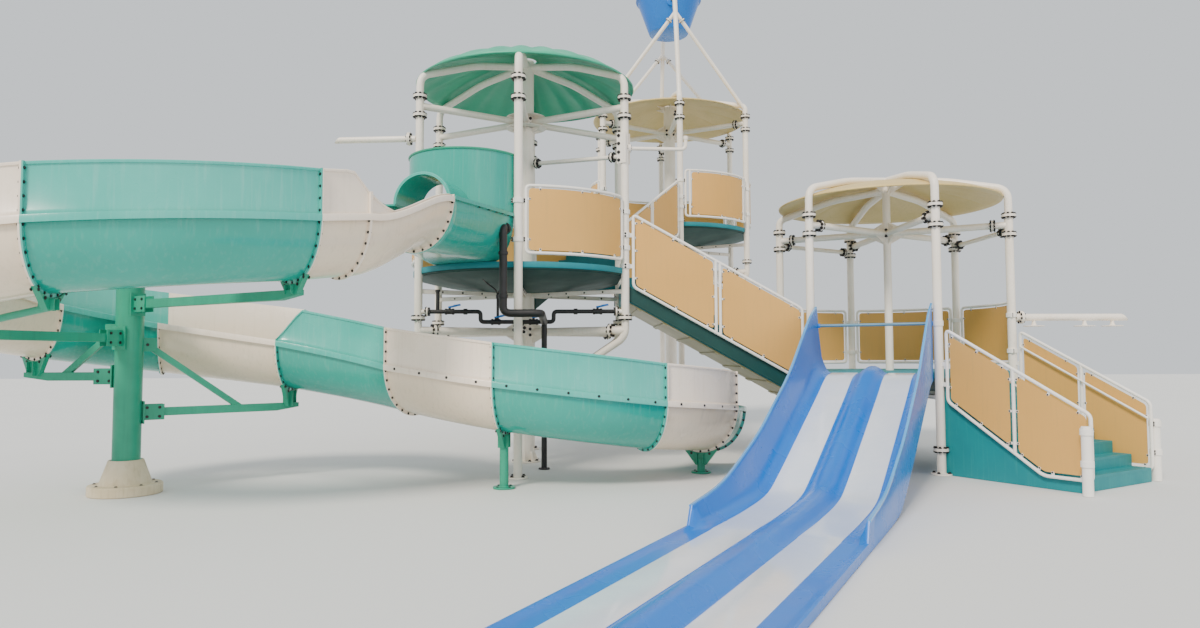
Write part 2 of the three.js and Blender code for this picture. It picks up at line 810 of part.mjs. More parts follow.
// Racer slide
const LANE_FAR = 630;
const LANE_NEAR = 210;
const RACER_HALF = 870;
const WALL_TOP = 1000; // stands for the wall's top in the outline
const DIVIDER_SHARE = 0.8;
// Distance out from the deck's edge, level of the lanes, height of the walls over them, and level
// of the underside.
const RACER_LINE = [
  [GUARD_R * Math.cos(Math.PI / BEAM_SIDES) + GAP, 1500, 1050, 1400],
  [450, 1440, 920, 1310],
  [1000, 1200, 790, 1070],
  [1700, 900, 620, 770],
  [2500, 560, 560, 430],
  [3100, 310, 530, 190],
  [3600, 140, 520, 40],
  [4500, 80, 310, 0],
  [5450, 75, 205, 0],
  [5530, 70, 25, 0],
  [9100, 45, 25, 0],
];

/** The two-lane slide: lanes, rounded divider and outer walls in one moulding. */
function racer() {
  const half = [
    [0, 140],
    [130, 115],
    [LANE_NEAR, 0],
    [LANE_FAR, 0],
    [790, WALL_TOP / 4],
    [RACER_HALF - 26, WALL_TOP],
    [RACER_HALF, WALL_TOP],
    [RACER_HALF, -1],
  ];
  const outline = [...half, ...half.slice(1).map(([u, v]) => [-u, v]).reverse()];
  return sweep(outline, RACER_LINE.length - 1, (u, v, share) => {
    const [out, lanes, wall, under] = RACER_LINE[Math.round(share * (RACER_LINE.length - 1))];
    const isWall = Math.abs(u) > LANE_FAR;
    const level = v < 0 ? under : lanes + (isWall ? (v / WALL_TOP) * wall : v * DIVIDER_SHARE);
    return beside(C, 5, out, -u, level);
  });
}

// Tub at the top of the flume
const TUB_R = 870;
const TUB_T = 24;
const TUB_SIDES = 16;
const TUB_NORMAL = 240; // heading of the tower side that the tub stands on
const TUB = beside(A, 5, 0, 0, 0);
const TUB_FLOOR = A.deck + GAP;
const TUB_EDGE = 170; // height of the rounded edge under the tub's wall
const TUB_HIGH = A.deck + 1610;
const TUB_BAND = 45;
const HOOD_R = 410;
const HOOD_RIM = 18; // rim's height over the hood
const HOOD_BACK = 190; // from the flume's first joint back to the hood's end

/** All the space beyond an upright plane, by a point on it, its heading and an offset. */
function slab(point, heading, offset) {
  const reach = 1500 + offset;
  const x = point.x + reach * Math.cos(rad(heading));
  const y = point.y + reach * Math.sin(rad(heading));
  return box(x, y, A.deck - 600, 3000, 4000, 3000, heading);
}

/** All the space over a level around the tub. */
const above = (level) => box(TUB.x, TUB.y, level, 6000, 6000, 3000);

/** The tub's mouth: a chute, flat shoulders on its lips and a half-round hood between them. */
function tubMouth() {
  const mouth = flumeJoints[0];
  const lip = mouth.z + TROUGH_D;
  const level = (z) => [at(TUB.x, TUB.y, z), at(mouth.x, mouth.y, z)];
  const [back, front] = level(mouth.z + TROUGH_W);
  const step = front.clone().sub(back).setLength(1);
  const beyond = (point, distance) => point.clone().addScaledVector(step, distance);
  const [hoodBack, hoodLine] = level(lip);
  const hoodEnd = beyond(hoodLine, -HOOD_BACK);
  const shoulder = level(lip - TUB_T / 2);
  const chute = join(
    bar(back, beyond(front, 80), TROUGH_W + TUB_T, 12),
    bar(beyond(front, -32), beyond(front, 80), TROUGH_W + 60, 12),
  ).subtract(above(lip));
  const hood = join(
    bar(hoodBack, hoodEnd, HOOD_R, 12),
    bar(beyond(hoodEnd, -60), hoodEnd, HOOD_R + HOOD_RIM, 12),
  ).intersect(above(lip - SINK));
  const shoulders = flatBar(shoulder[0], beyond(shoulder[1], -HOOD_BACK), 2 * TROUGH_W, TUB_T);
  const room = join(
    bar(back, beyond(front, 160), TROUGH_W, 12).subtract(above(lip - TUB_T)),
    bar(hoodBack, beyond(hoodLine, 160), HOOD_R - TUB_T, 12),
    bar(beyond(front, -HOOD_BACK), beyond(front, 160), TROUGH_W, 12),
  );
  return { shell: join(chute, hood, shoulders), room };
}

/** The launch tub outside tower A, with the mouth that feeds the flume. */
function tub() {
  const { x, y } = TUB;
  const mouth = tubMouth();
  const band = flumeJoints[0].z + TROUGH_D;
  const shell = join(
    drum(x, y, TUB_FLOOR + TUB_EDGE - SINK, TUB_HIGH, TUB_R, TUB_SIDES),
    drum(x, y, TUB_FLOOR, TUB_FLOOR + TUB_EDGE, TUB_R - 130, TUB_SIDES, TUB_R),
    drum(x, y, band - 25, band + 25, TUB_R + TUB_BAND, TUB_SIDES),
    mouth.shell,
  );
  const room = join(
    drum(x, y, TUB_FLOOR + TUB_EDGE, TUB_HIGH + 10, TUB_R - TUB_T, TUB_SIDES),
    drum(x, y, TUB_FLOOR + TUB_T, TUB_FLOOR + TUB_EDGE + 1, TUB_R - 130 - TUB_T, TUB_SIDES, TUB_R - TUB_T),
    mouth.room,
  );
  return shell
    .subtract(room)
    .subtract(slab(TUB, TUB_NORMAL + 180, -12))
    .subtract(slab(flumeJoints[0], flumeJoints[0].heading, -GAP / 2))
    .subtract(drum(A.x, A.y, A.deck - 300, A.deck + GAP, POST_CIRCLE, 24))
    .subtract(postRoom(A, [5, 6]));
}

/** The room that the tub's wall takes, with its fit, for the pipe that feeds it. */
const tubRoom = () => drum(TUB.x, TUB.y, TUB_FLOOR, TUB_HIGH, TUB_R + GAP, TUB_SIDES);

// Right-hand stair down from tower C
const DOWN_RUN = 2000;
const DOWN_SLOPE = -0.563; // of a side's top rail
const DOWN_UNDER = -0.655; // of its bottom rail
const NEWEL_R = 64;
const NEWEL_TOP = 870;
const NEWEL_ASIDE = 112; // newel's centre outside the frame
const HAND_R = 16;
const HAND_IN = 62; // handrail's centre inside the frame
const HAND_DROP = 250;

/** The stair down from tower C: a closed flight that stands in the water. */
function downFlight() {
  const steps = 8;
  const going = DOWN_RUN / steps;
  const rise = (C.deck - 30) / (steps + 1);
  const outline = [[GAP, 0]];
  for (let k = 0; k < steps; k++) {
    const level = C.deck - (k + 1) * rise;
    outline.push([k === 0 ? GAP : k * going, level], [(k + 1) * going, level]);
  }
  outline.push([DOWN_RUN, 0]);
  let body = sweep(outline, 1, (out, level, share) => beside(C, 0, out, STAIR_HALF * (2 * share - 1), level));
  for (const i of [0, 1]) {
    const { x, y } = corner(C, i, 0);
    body = body.subtract(drum(x, y, -10, C.deck, FOOT_R + GAP));
  }
  return body;
}

/** One side of the stair down, with its newel outside and its handrail inside. */
function downSide(left, end) {
  const start = POST_R + 45;
  const outward = Math.sign(left);
  const high = (out) => 2250 + DOWN_SLOPE * out;
  const low = (out) => 1150 + DOWN_UNDER * out;
  const level = 150;
  const bend = (level - 1150) / DOWN_UNDER;
  const t = 2 * GUARD_R;
  const mid = (start + end) / 2;
  const spot = (out, up, thick) => beside(C, 0, out, left + thick, up);
  const upper = [
    [start + t, low(start + t) + t],
    [mid - GUARD_R, low(mid) + t],
    [mid - GUARD_R, high(mid) - t],
    [start + t, high(start + t) - t],
  ];
  const lower = [
    [mid + GUARD_R, low(mid) + t],
    [bend, level + t],
    [end - t, level + t],
    [end - t, high(end - t) - t],
    [mid + GUARD_R, high(mid) - t],
  ];
  const outline = [
    [start, low(start)],
    [bend, level],
    [end, level],
    [end, high(end)],
    [start, high(start)],
  ];
  const frame = framedPanel(outline, [upper, lower], spot);
  const inside = left - outward * HAND_IN;
  const handrail = (out, aside) => beside(C, 0, out, aside, high(out) - HAND_DROP);
  const grips = [start + 60, mid, end - 60].map((out) =>
    bar(handrail(out, left), handrail(out, inside), 10, BEAM_SIDES),
  );
  const newel = beside(C, 0, end - GUARD_R, left + outward * NEWEL_ASIDE, 0);
  return join(
    frame,
    stubs(C, 0, left, start, [low(start) + 250, low(start) + 550], -(45 + SINK)),
    drum(newel.x, newel.y, 0, NEWEL_TOP, NEWEL_R),
    [400, 800].map((up) => flatBar(beside(C, 0, end - GUARD_R, left, up), newel.clone().setZ(up), 40, 60)),
    bar(handrail(start + 30, inside), handrail(end - 30, inside), HAND_R, BEAM_SIDES),
    grips,
  ).subtract(postRoom(C, [0, 1]));
}

// Tipping bucket
const BUCKET = { axis: 10150, low: 9600, high: 10450, lowR: 470, highR: 770, wall: 14 };
const BUCKET_SIDES = 16;
const SHAFT_R = 32;
const SHAFT_SIDES = 24;
const SHAFT_FIT = 0.5;
const MAST_HEAD = { out: 1120, top: 10330, node: 9600 };

/** The frame that carries the bucket: two leaning uprights with side struts and bearings. */
function bucketFrame() {
  const parts = [];
  for (const sign of [-1, 1]) {
    const front = sign < 0;
    const y = B.y + sign * MAST_HEAD.out;
    const foot = corner(B, front ? 0 : 3, B.high + 130);
    const head = at(B.x, y, MAST_HEAD.top);
    const share = (MAST_HEAD.node - foot.z) / (head.z - foot.z);
    const node = foot.clone().lerp(head, share);
    parts.push(bar(foot, head, 52, BEAM_SIDES));
    for (const i of front ? [1, 5] : [2, 4]) {
      parts.push(bar(corner(B, i, B.high + 150), node, 42, BEAM_SIDES));
    }
    const bearing = at(B.x, y, BUCKET.axis);
    parts.push(bar(bearing.clone().setY(y - 60), bearing.clone().setY(y + 60), 95));
  }
  return parts;
}

/** The bores that the bucket's shaft stubs turn in. */
const bores = () =>
  [-1, 1].map((sign) =>
    bar(
      at(B.x, B.y + sign * (MAST_HEAD.out - 70), BUCKET.axis),
      at(B.x, B.y + sign * (MAST_HEAD.out + 50), BUCKET.axis),
      (SHAFT_R + SHAFT_FIT) / Math.cos(Math.PI / SHAFT_SIDES),
      SHAFT_SIDES,
    ),
  );

/** The bucket: a tapered shell with a shaft stub on each side. */
function bucket() {
  const { low, high, lowR, highR, wall, axis } = BUCKET;
  const shell = drum(B.x, B.y, low, high, lowR, BUCKET_SIDES, highR)
    .add(drum(B.x, B.y, high - 45, high, highR + 22, BUCKET_SIDES))
    .subtract(drum(B.x, B.y, low + wall, high + 1, lowR - wall, BUCKET_SIDES, highR - wall));
  const wallR = lowR + ((highR - lowR) * (axis - low)) / (high - low);
  const stubs = [-1, 1].map((sign) =>
    bar(
      at(B.x, B.y + sign * (wallR - 20), axis),
      at(B.x, B.y + sign * (MAST_HEAD.out + 40), axis),
      SHAFT_R,
      SHAFT_SIDES,
    ),
  );
  return join(shell, stubs);
}

// Pipes
const HEADER = { y: -950, level: 2325, ends: 2490, reach: 1490, flange: 70, flangeT: 25 };
const RISER = { x: -200, y: -2140, level: 2400, entry: 3660 };
const LEFT_SPRAY = { length: 1400, radius: 50, flange: { from: 148, thick: 44, radius: 105 } };
const RIGHT_SPRAY = {
  length: 1000,
  radius: 30,
  flange: { from: POST_R - SINK, thick: 40, radius: 66 },
  lift: 220,
};
const BOOM = {
  level: 2385,
  length: 1920,
  radius: 57,
  flange: { from: 128, thick: 44, radius: 105 },
  reaches: [365, 1204, 1666], // nozzles, from the post's axis
  drop: 150, // nozzles under the axis
  disc: 160,
};

/** The black manifold under deck A: a header between two posts, its feed and the tub's riser. */
function manifold() {
  const { y, level, ends, reach, flange, flangeT } = HEADER;
  const [small, large] = [34, 58];
  const header = [
    at(-reach + GAP, y, ends),
    at(-660, y, ends),
    at(-660, y, level),
    at(500, y, level),
    at(500, y, ends),
    at(reach - GAP, y, ends),
  ];
  const riser = [
    at(RISER.x, -1900, RISER.entry),
    at(RISER.x, RISER.y, RISER.entry),
    at(RISER.x, RISER.y, RISER.level),
    at(350, RISER.y, RISER.level),
    at(350, y, level),
  ];
  const end = (x, inward) => bar(at(x, y, ends), at(x + inward * flangeT, y, ends), flange);
  return join(
    pipe(header, small, 60),
    pipe(riser, large, 110),
    end(-reach + GAP, 1),
    end(reach - GAP, -1),
    drum(350, y, 0, level, 45),
    drum(350, y, 0, 20, 90),
    drum(-1340, y, ends, 2840, 29),
  ).subtract(tubRoom());
}

/** A flanged stub on a post of tower A, which an end of the manifold is bolted to. */
function manifoldStub(sign) {
  const { y, ends, reach, flange, flangeT } = HEADER;
  const face = sign * reach;
  return join(
    bar(at(face, y, ends), at(sign * POST_CIRCLE * Math.cos(Math.PI / SIDES), y, ends), 38),
    bar(at(face, y, ends), at(face + sign * flangeT, y, ends), flange),
  );
}

/**
 * A spray pipe bolted to a post: its radius, where its flanges start and how thick they are
 * together, and how far its end is lifted.
 */
function sprayPipe(tower, i, level, direction, { length, radius, flange, lift = 0 }) {
  const start = corner(tower, i, level);
  const d = at(...direction, 0).normalize();
  const out = (distance) => start.clone().addScaledVector(d, distance);
  const plates = bar(out(flange.from), out(flange.from + flange.thick), flange.radius);
  const ends = [out(POST_R - SINK), out(length)];
  if (lift === 0) return join(plates, bar(...ends, radius)).subtract(postRoom(tower, [i]));
  const bent = [...ends, ends[1].clone().setZ(level + lift)];
  return join(plates, pipe(bent, radius, 90)).subtract(postRoom(tower, [i]));
}

/** The boom on tower C with the flat nozzles under it, clear of the guard's clamp on its post. */
function boom() {
  const { level, radius, reaches, drop, disc } = BOOM;
  const { x, y } = corner(C, 1, 0);
  const nozzles = reaches.flatMap((reach) => [
    drum(x + reach, y, level - drop, level - drop + 16, disc, 12),
    drum(x + reach, y, level - drop + 8, level - radius / 2, 48, 8, 22),
  ]);
  const clampLow = C.deck + CLAMP_LEVELS[1] - CLAMP_H / 2 - GAP;
  const clampRoom = drum(x, y, clampLow, clampLow + CLAMP_H + 2 * GAP, POST_R + CLAMP_T + GAP);
  return join(sprayPipe(C, 1, level, [1, 0], BOOM), nozzles).subtract(clampRoom);
}

// Assembly
const A_JOINT = 2390;
const A_FEET = [0, A_JOINT, A_JOINT, 0, A_JOINT, A_JOINT];
const B_JOINT = 3930;
const B_FEET = [0, B_JOINT, B_JOINT, 0, B_JOINT, B_JOINT];
const C_FEET = [0, 0, 0, 0, 0, 0];
const ALL_POSTS = [0, 1, 2, 3, 4, 5];

add("tower_a_column", column(A, A.hubLow - GAP), CREAM_STEEL);
const aFeed = bar(corner(A, 1, 5080, A.column), corner(A, 1, 5000), 36, BEAM_SIDES);
const aExtras = [aFeed, manifoldStub(-1), manifoldStub(1)];
add("tower_a_post_frame", postFrame(A, A_FEET, aExtras), CREAM_STEEL);
const aArms = roofArms(A, A.crown - GAP, [{ posts: ALL_POSTS, shoulder: 6300, knee: 6640, hub: 6775 }]);
add("tower_a_roof_arms", aArms, CREAM_STEEL);
add("tower_a_roof", roofShell(A, 1850, 26, 24, 60), TEAL_ROOF);
add("tower_a_deck", deck(A, [0, 3, 4, 5]), TEAL_DECK);
add("tower_a_deck_frame", deckFrame(A, A_JOINT, 2190, 2080, 1060), CREAM_STEEL);
add("tower_a_front_guard", guards(A, [0]), TAN_PANEL);
add("tower_a_rear_guards", guards(A, [3, 4]), TAN_PANEL);
add("tower_a_tub", tub(), TEAL_SHELL);
add("tower_a_manifold", manifold(), BLACK_PIPE);
add("tower_a_left_spray", sprayPipe(A, 5, 5270, [-1, 0.1], LEFT_SPRAY), CREAM_STEEL);
add("tower_a_right_spray", sprayPipe(A, 1, 5130, [1, 0.05], RIGHT_SPRAY), CREAM_STEEL);

add("tower_b_column", column(B, B.hubLow - GAP), CREAM_STEEL);
add("tower_b_post_frame", postFrame(B, B_FEET), CREAM_STEEL);
add("tower_b_deck", deck(B, [0, 1, 2, 3, 4]), TEAL_DECK);
add("tower_b_deck_frame", deckFrame(B, B_JOINT, 3700, 3560, 2500), CREAM_STEEL);
add("tower_b_guards", guards(B, [0, 1, 2, 3, 4]), TAN_PANEL);
const bArms = roofArms(B, 7900, [{ posts: ALL_POSTS, shoulder: 7550, knee: 7785, hub: 7885 }]);
const bRoof = join(
  bArms,
  roofShell(B, 1830, 24, 6, 0),
  bucketFrame(),
);
add("tower_b_roof", bRoof.subtract(join(bores())), CREAM_ROOF);
add("tipping_bucket", bucket(), BLUE_SHELL);

const cRail = bar(corner(C, 5, 2250), corner(C, 6, 2250), GUARD_R, BEAM_SIDES);
const cRing = [
  bar(corner(C, 1, 3800), corner(C, 2, 3800), 40, BEAM_SIDES),
  bar(corner(C, 3, 3800), corner(C, 4, 3800), 40, BEAM_SIDES),
];
add("tower_c_column", column(C, C.hubLow - GAP), CREAM_STEEL);
const cFootFlanges = C_FEET.map((_, i) => {
  const { x, y } = corner(C, i, 0);
  return drum(x, y, 350, 350 + 2 * FLANGE_T, FLANGE_R);
});
add("tower_c_post_frame", postFrame(C, C_FEET, [cRail, ...cRing, ...cFootFlanges]), CREAM_STEEL);
const cArms = roofArms(C, 4830, [
  { posts: [5, 0, 1], shoulder: 4490, knee: 4715, hub: 4815 },
  { posts: [2, 3, 4], shoulder: 4270, knee: 4550, hub: 4640 },
]);
add("tower_c_roof", join(cArms, roofShell(C, 1830, 24, 6, 0)), CREAM_ROOF);
add("tower_c_deck", deck(C, [1, 2, 3]), TEAL_DECK);
add("tower_c_guards", guards(C, [1, 2, 3]), TAN_PANEL);
add("tower_c_spray", boom(), CREAM_STEEL);

towerStair("stair_ac", A, 1, C, C.deck, A.deck);
towerStair("stair_ab", A, 2, B, B.deck, A.deck);

add("racer_slide", racer(), BLUE_SHELL);
add("down_stair_flight", downFlight(), TEAL_DECK);
add("down_stair_front_side", downSide(SIDE_LENGTH / 2, 2180), TAN_PANEL);
add("down_stair_rear_side", downSide(-SIDE_LENGTH / 2, 2020), TAN_PANEL);

FLUME_PIECES.forEach((piece, k) => {
  const name = `flume_piece_${String(k + 1).padStart(2, "0")}`;
  add(name, flumePiece(piece, flumeJoints[k]), piece.shell);
});
add("flume_mast", mast(), TEAL_STEEL);
add("flume_mast_footing", footing(), CONCRETE);
add("flume_low_support_1", lowSupport(flumeJoints[10]), TEAL_STEEL);
add("flume_low_support_2", lowSupport(flumeJoints[12]), TEAL_STEEL);

export default group;
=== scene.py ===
"""Looks of a water play structure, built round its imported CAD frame.

Three hexagonal towers joined by stairs, an open flume on a mast, a two-lane slide and a tipping
bucket. Metres, +Z up, the origin under the central column of tower A.
"""
import json
import logging
import math
from collections.abc import Callable, Iterable, Sequence
from dataclasses import dataclass, field
from enum import Enum

import bmesh
import bpy
from mathutils import Matrix, Vector

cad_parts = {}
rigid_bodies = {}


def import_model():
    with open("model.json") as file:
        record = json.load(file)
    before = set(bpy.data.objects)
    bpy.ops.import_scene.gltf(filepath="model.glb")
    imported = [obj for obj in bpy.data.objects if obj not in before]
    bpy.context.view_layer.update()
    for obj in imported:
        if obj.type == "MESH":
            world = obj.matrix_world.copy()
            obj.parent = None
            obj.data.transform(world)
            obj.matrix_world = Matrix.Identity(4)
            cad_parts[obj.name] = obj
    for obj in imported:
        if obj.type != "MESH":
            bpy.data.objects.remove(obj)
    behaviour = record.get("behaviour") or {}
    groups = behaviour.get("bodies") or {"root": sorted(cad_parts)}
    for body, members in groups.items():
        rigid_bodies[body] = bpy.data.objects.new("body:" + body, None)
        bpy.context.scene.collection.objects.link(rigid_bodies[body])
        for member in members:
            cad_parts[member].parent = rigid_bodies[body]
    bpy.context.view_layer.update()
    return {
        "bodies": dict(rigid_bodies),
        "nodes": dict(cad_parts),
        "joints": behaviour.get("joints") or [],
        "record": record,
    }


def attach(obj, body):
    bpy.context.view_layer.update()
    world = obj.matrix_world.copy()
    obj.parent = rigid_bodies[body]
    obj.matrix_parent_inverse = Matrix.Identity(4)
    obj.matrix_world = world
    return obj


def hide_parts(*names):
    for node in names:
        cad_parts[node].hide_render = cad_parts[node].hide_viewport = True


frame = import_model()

LOG = logging.getLogger("water_structure")
Tree, Socket = bpy.types.NodeTree, bpy.types.NodeSocket
Rows = Sequence[tuple[float, float]]

# Sizes shared by the whole structure, as in the part's source
POST_CIRCLE = 1.9
SIDE_OUT = POST_CIRCLE * math.cos(math.pi / 6)
GAP = 0.0003
POST_R = 0.065
COLUMN_R = 0.135
SPACING = 6.28
BEAM_R = 0.056
ARM_R = 0.060
FLANGE_R = 0.108
FLANGE_T = 0.022
SLEEVE_T = 0.026
SLEEVE_H = 0.190
FOOT_R = 0.150
FOOT_T = 0.025
GUARD_R = 0.024
PANEL_T = 0.012
GUARD_LOW = 0.120
GUARD_HIGH = 1.130
GUARD_SETBACK = 0.115
FLAT_ARM = (0.06, 0.034)
COLLAR_H = 0.08
CLAMP_LEVELS = (0.32, 0.90)
PIPE_Y = -0.95
PIPE_ENDS = 2.49
PIPE_REACH = 1.49
STAIR_HALF = 0.9
STAIR_SIDE = POST_CIRCLE / 2
FOOT_BOLTS = 0.115
POST_BOLTS = 0.088
UP = Vector((0, 0, 1))

# Radius and height of the heads of bolts and screws
POST_HEAD = (0.02, 0.034)
BEAM_HEAD = (0.019, 0.03)
LEG_HEAD = (0.014, 0.016)
CLAMP_HEAD = (0.0125, 0.015)
TRIM_HEAD = (0.011, 0.013)
SCREW_HEAD = (0.0085, 0.008)


# ---- Finishes


class Surface(Enum):
    """How a surface was made, which decides its pattern."""

    SPRAYED = "sprayed and baked powder on steel"
    GELCOAT = "polished gelcoat of a glass-fibre moulding"
    SHEET = "extruded plastic sheet"
    GRIT = "gelcoat with a grip texture"
    CAST = "cast and painted concrete"
    MOULDED = "moulded plastic"


def linear(colour: str) -> tuple[float, float, float, float]:
    """Turns an sRGB hex colour into linear values.

    Args:
        colour: Hex value such as "#ece4d8".

    Returns:
        Linear red, green, blue and an alpha of one.
    """
    parts = [int(colour[i : i + 2], 16) / 255 for i in (1, 3, 5)]
    values = [c / 12.92 if c <= 0.04045 else ((c + 0.055) / 1.055) ** 2.4 for c in parts]
    return (*values, 1.0)


def add_node(tree: Tree, kind: str, inputs: dict | None = None, **settings: object) -> bpy.types.Node:
    """Adds a node with its settings, values and links.

    Args:
        tree: Tree that gets the node.
        kind: Type name of the node.
        inputs: Socket name or number to a value, or to a socket that is linked to it.
        **settings: Properties of the node.

    Returns:
        The new node.
    """
    node = tree.nodes.new(kind)
    for key, value in settings.items():
        setattr(node, key, value)
    for key, value in (inputs or {}).items():
        if isinstance(value, Socket):
            tree.links.new(value, node.inputs[key])
        else:
            node.inputs[key].default_value = value
    return node


@dataclass(frozen=True)
class Finish:
    """One finish of the structure and the pattern that its surface shows.

    Sizes of patterns are in millimetres: the grain of the surface, and the clouding of its colour.
    """

    name: str
    surface: Surface
    colour: str
    tint: str
    roughness: float
    grain: float = 4.0
    relief: float = 0.1
    clouds: float = 500.0
    clouding: float = 0.35
    runs: float = 0.0
    run_colour: str = "#8f8a78"
    coat: float = 0.0

    def material(self) -> bpy.types.Material:
        """Makes the material, or returns it where it is made already."""
        return bpy.data.materials.get(self.name) or self._build()

    def _build(self) -> bpy.types.Material:
        """Builds the node tree of the material."""
        made = bpy.data.materials.new(self.name)
        made.use_nodes = True
        tree = made.node_tree
        tree.nodes.clear()
        place = add_node(tree, "ShaderNodeTexCoord").outputs["Object"]
        cloud = self._noise(tree, place, 1000 / self.clouds, 3.0, 0.55)
        share = self._span(tree, cloud, (0.35, 0.68), (0.0, self.clouding))
        colour = self._mix(tree, share, linear(self.colour), linear(self.tint))
        if self.runs > 0:
            colour = self._add_runs(tree, place, colour)
        grain = self._grain(tree, place)
        rough = self._span(tree, cloud, (0.3, 0.7), (max(0.04, self.roughness - 0.05), self.roughness + 0.07))
        strength, depth = min(1.0, 0.2 + self.relief), self.relief / 1000
        bump = add_node(tree, "ShaderNodeBump", {"Height": grain, "Strength": strength, "Distance": depth})
        inputs = {"Base Color": colour, "Roughness": rough, "Normal": bump.outputs[0]}
        inputs |= {"Coat Weight": self.coat, "Coat Roughness": 0.08}
        shader = add_node(tree, "ShaderNodeBsdfPrincipled", inputs)
        add_node(tree, "ShaderNodeOutputMaterial", {"Surface": shader.outputs[0]})
        return made

    @staticmethod
    def _noise(tree: Tree, place: Socket, scale: float, detail: float, roughness: float) -> Socket:
        """Adds a cloudy pattern and returns its height."""
        inputs = {"Vector": place, "Scale": scale, "Detail": detail, "Roughness": roughness}
        return add_node(tree, "ShaderNodeTexNoise", inputs).outputs["Fac"]

    @staticmethod
    def _span(tree: Tree, value: Socket, given: tuple[float, float], wanted: tuple[float, float]) -> Socket:
        """Stretches a value from a given span to the wanted one."""
        ends = {"From Min": given[0], "From Max": given[1], "To Min": wanted[0], "To Max": wanted[1]}
        return add_node(tree, "ShaderNodeMapRange", {"Value": value, **ends}).outputs[0]

    @staticmethod
    def _mix(tree: Tree, share: Socket, first: object, second: object) -> Socket:
        """Mixes two colours by a share."""
        return add_node(tree, "ShaderNodeMix", {0: share, 6: first, 7: second}, data_type="RGBA").outputs[2]

    def _add_runs(self, tree: Tree, place: Socket, colour: Socket) -> Socket:
        """Adds the upright marks that splashed water leaves, about 40 mm wide.

        Args:
            tree: Tree of the material.
            place: Object coordinates.
            colour: Colour so far.

        Returns:
            The colour with the marks.
        """
        stretched = add_node(tree, "ShaderNodeMapping", {"Vector": place, "Scale": (1.0, 1.0, 0.07)})
        marks = self._noise(tree, stretched.outputs[0], 25.0, 2.0, 0.5)
        share = self._span(tree, marks, (0.52, 0.78), (0.0, self.runs))
        return self._mix(tree, share, colour, linear(self.run_colour))

    def _grain(self, tree: Tree, place: Socket) -> Socket:
        """Makes the relief pattern of the surface and returns its height."""
        scale = 1000 / self.grain
        match self.surface:
            case Surface.GRIT | Surface.CAST:
                inputs = {"Vector": place, "Scale": scale}
                return add_node(tree, "ShaderNodeTexVoronoi", inputs, feature="SMOOTH_F1").outputs["Distance"]
            case Surface.GELCOAT:
                return self._noise(tree, place, scale, 1.0, 0.5)
            case _:
                return self._noise(tree, place, scale, 4.0, 0.6)


COAT, GEL, GRIT, MOULDED = Surface.SPRAYED, Surface.GELCOAT, Surface.GRIT, Surface.MOULDED

# Powder coat on galvanised steel: satin, with a faint orange peel and dust where water dries
CREAM_COAT = Finish("cream_powder_coat", COAT, "#fbf4ea", "#f0e4d0", 0.36, 6.0, 0.12, 700, 0.5, 0.16, "#c9b48e")
TEAL_COAT = Finish("teal_powder_coat", COAT, "#1f9d7c", "#178a6d", 0.38, 6.0, 0.12, 450, 0.6, 0.2, "#1f6b5c")
WHITE_COAT = Finish("white_rail_coat", COAT, "#fbf8f2", "#efe9de", 0.32, 5.0, 0.1, 600, 0.4, 0.1, "#c9bda6")
TEAL_BAR = Finish("grey_blue_bar_coat", COAT, "#5f8ea6", "#56839b", 0.35, 5.0, 0.1, 300, 0.4)
# Gelcoat on glass fibre: deep gloss with slow waves of the mould, chalking and water marks
TEAL_GEL = Finish("teal_gelcoat", GEL, "#12a391", "#2dae9d", 0.20, 260, 1.4, 900, 0.55, 0.22, "#7cc3b2", 0.35)
CREAM_GEL = Finish("cream_gelcoat", GEL, "#efdcc2", "#f5e6d2", 0.22, 260, 1.4, 900, 0.5, 0.24, "#bfb193", 0.35)
# The soffit colour is painted shade under the flights, tinted olive by painted light bounced up from the ground.
SOFFIT_SHADE = Finish("olive_soffit_painted_shade", GEL, "#9a9468", "#857f58", 0.4, 200, 1.0, 600, 0.6, 0.3, "#6d6846")
BLUE_GEL = Finish("blue_gelcoat", GEL, "#006fd0", "#007bda", 0.26, 220, 1.2, 800, 0.5, 0.12, "#2f8ad8")
LANE_GEL = Finish("white_lane_gelcoat", GEL, "#e6eef8", "#d4e1f2", 0.16, 180, 1.2, 500, 0.6, 0.1, "#a9c4e2", 0.5)
# The same gelcoats made lighter on lips, high walls, flanges and the slide's edge caps: painted sunlight where the
# upper faces catch the light
TEAL_SUNLIT_GEL = Finish("sunlit_teal_gelcoat", GEL, "#3fb5a6", "#5ac2b5", 0.24, 260, 1.2, 700, 0.6, 0.25, "#93d0c6", 0.3)
CREAM_SUNLIT_GEL = Finish("sunlit_cream_gelcoat", GEL, "#f7e8d6", "#fbf0e2", 0.26, 260, 1.2, 700, 0.5, 0.2, "#cdbfa3", 0.3)
BLUE_SUNLIT_EDGE = Finish("sunlit_blue_edge", GEL, "#3f9be0", "#5aabe6", 0.2, 200, 0.8, 400, 0.5, 0.1, "#9cc8ea", 0.4)
# Decks, steps and nosings of glass fibre with a cast-in grip of coarse grains
DECK_GRIP = Finish("teal_grip_deck", GRIT, "#008490", "#007581", 0.5, 9.0, 0.9, 400, 0.5, 0.2, "#2c938f")
TEAL_STEP = Finish("teal_step_moulding", GRIT, "#00858b", "#007780", 0.48, 9.0, 0.7, 400, 0.5, 0.25, "#3aa39c")
DECK_EDGE = Finish("teal_nosing", GRIT, "#11868c", "#0c7a82", 0.45, 6.0, 0.5, 300, 0.5)
DECK_SHADE = Finish("dark_teal_underside", GRIT, "#004541", "#003633", 0.6, 14.0, 0.6, 500, 0.6)
# Polyethylene sheet: dull, with a fine pebble and faint marks of the extruder
TAN_SHEET = Finish("tan_polyethylene", Surface.SHEET, "#e2ae5c", "#d9a552", 0.52, 3.0, 0.12, 900, 0.5, 0.18, "#bd9a5e")
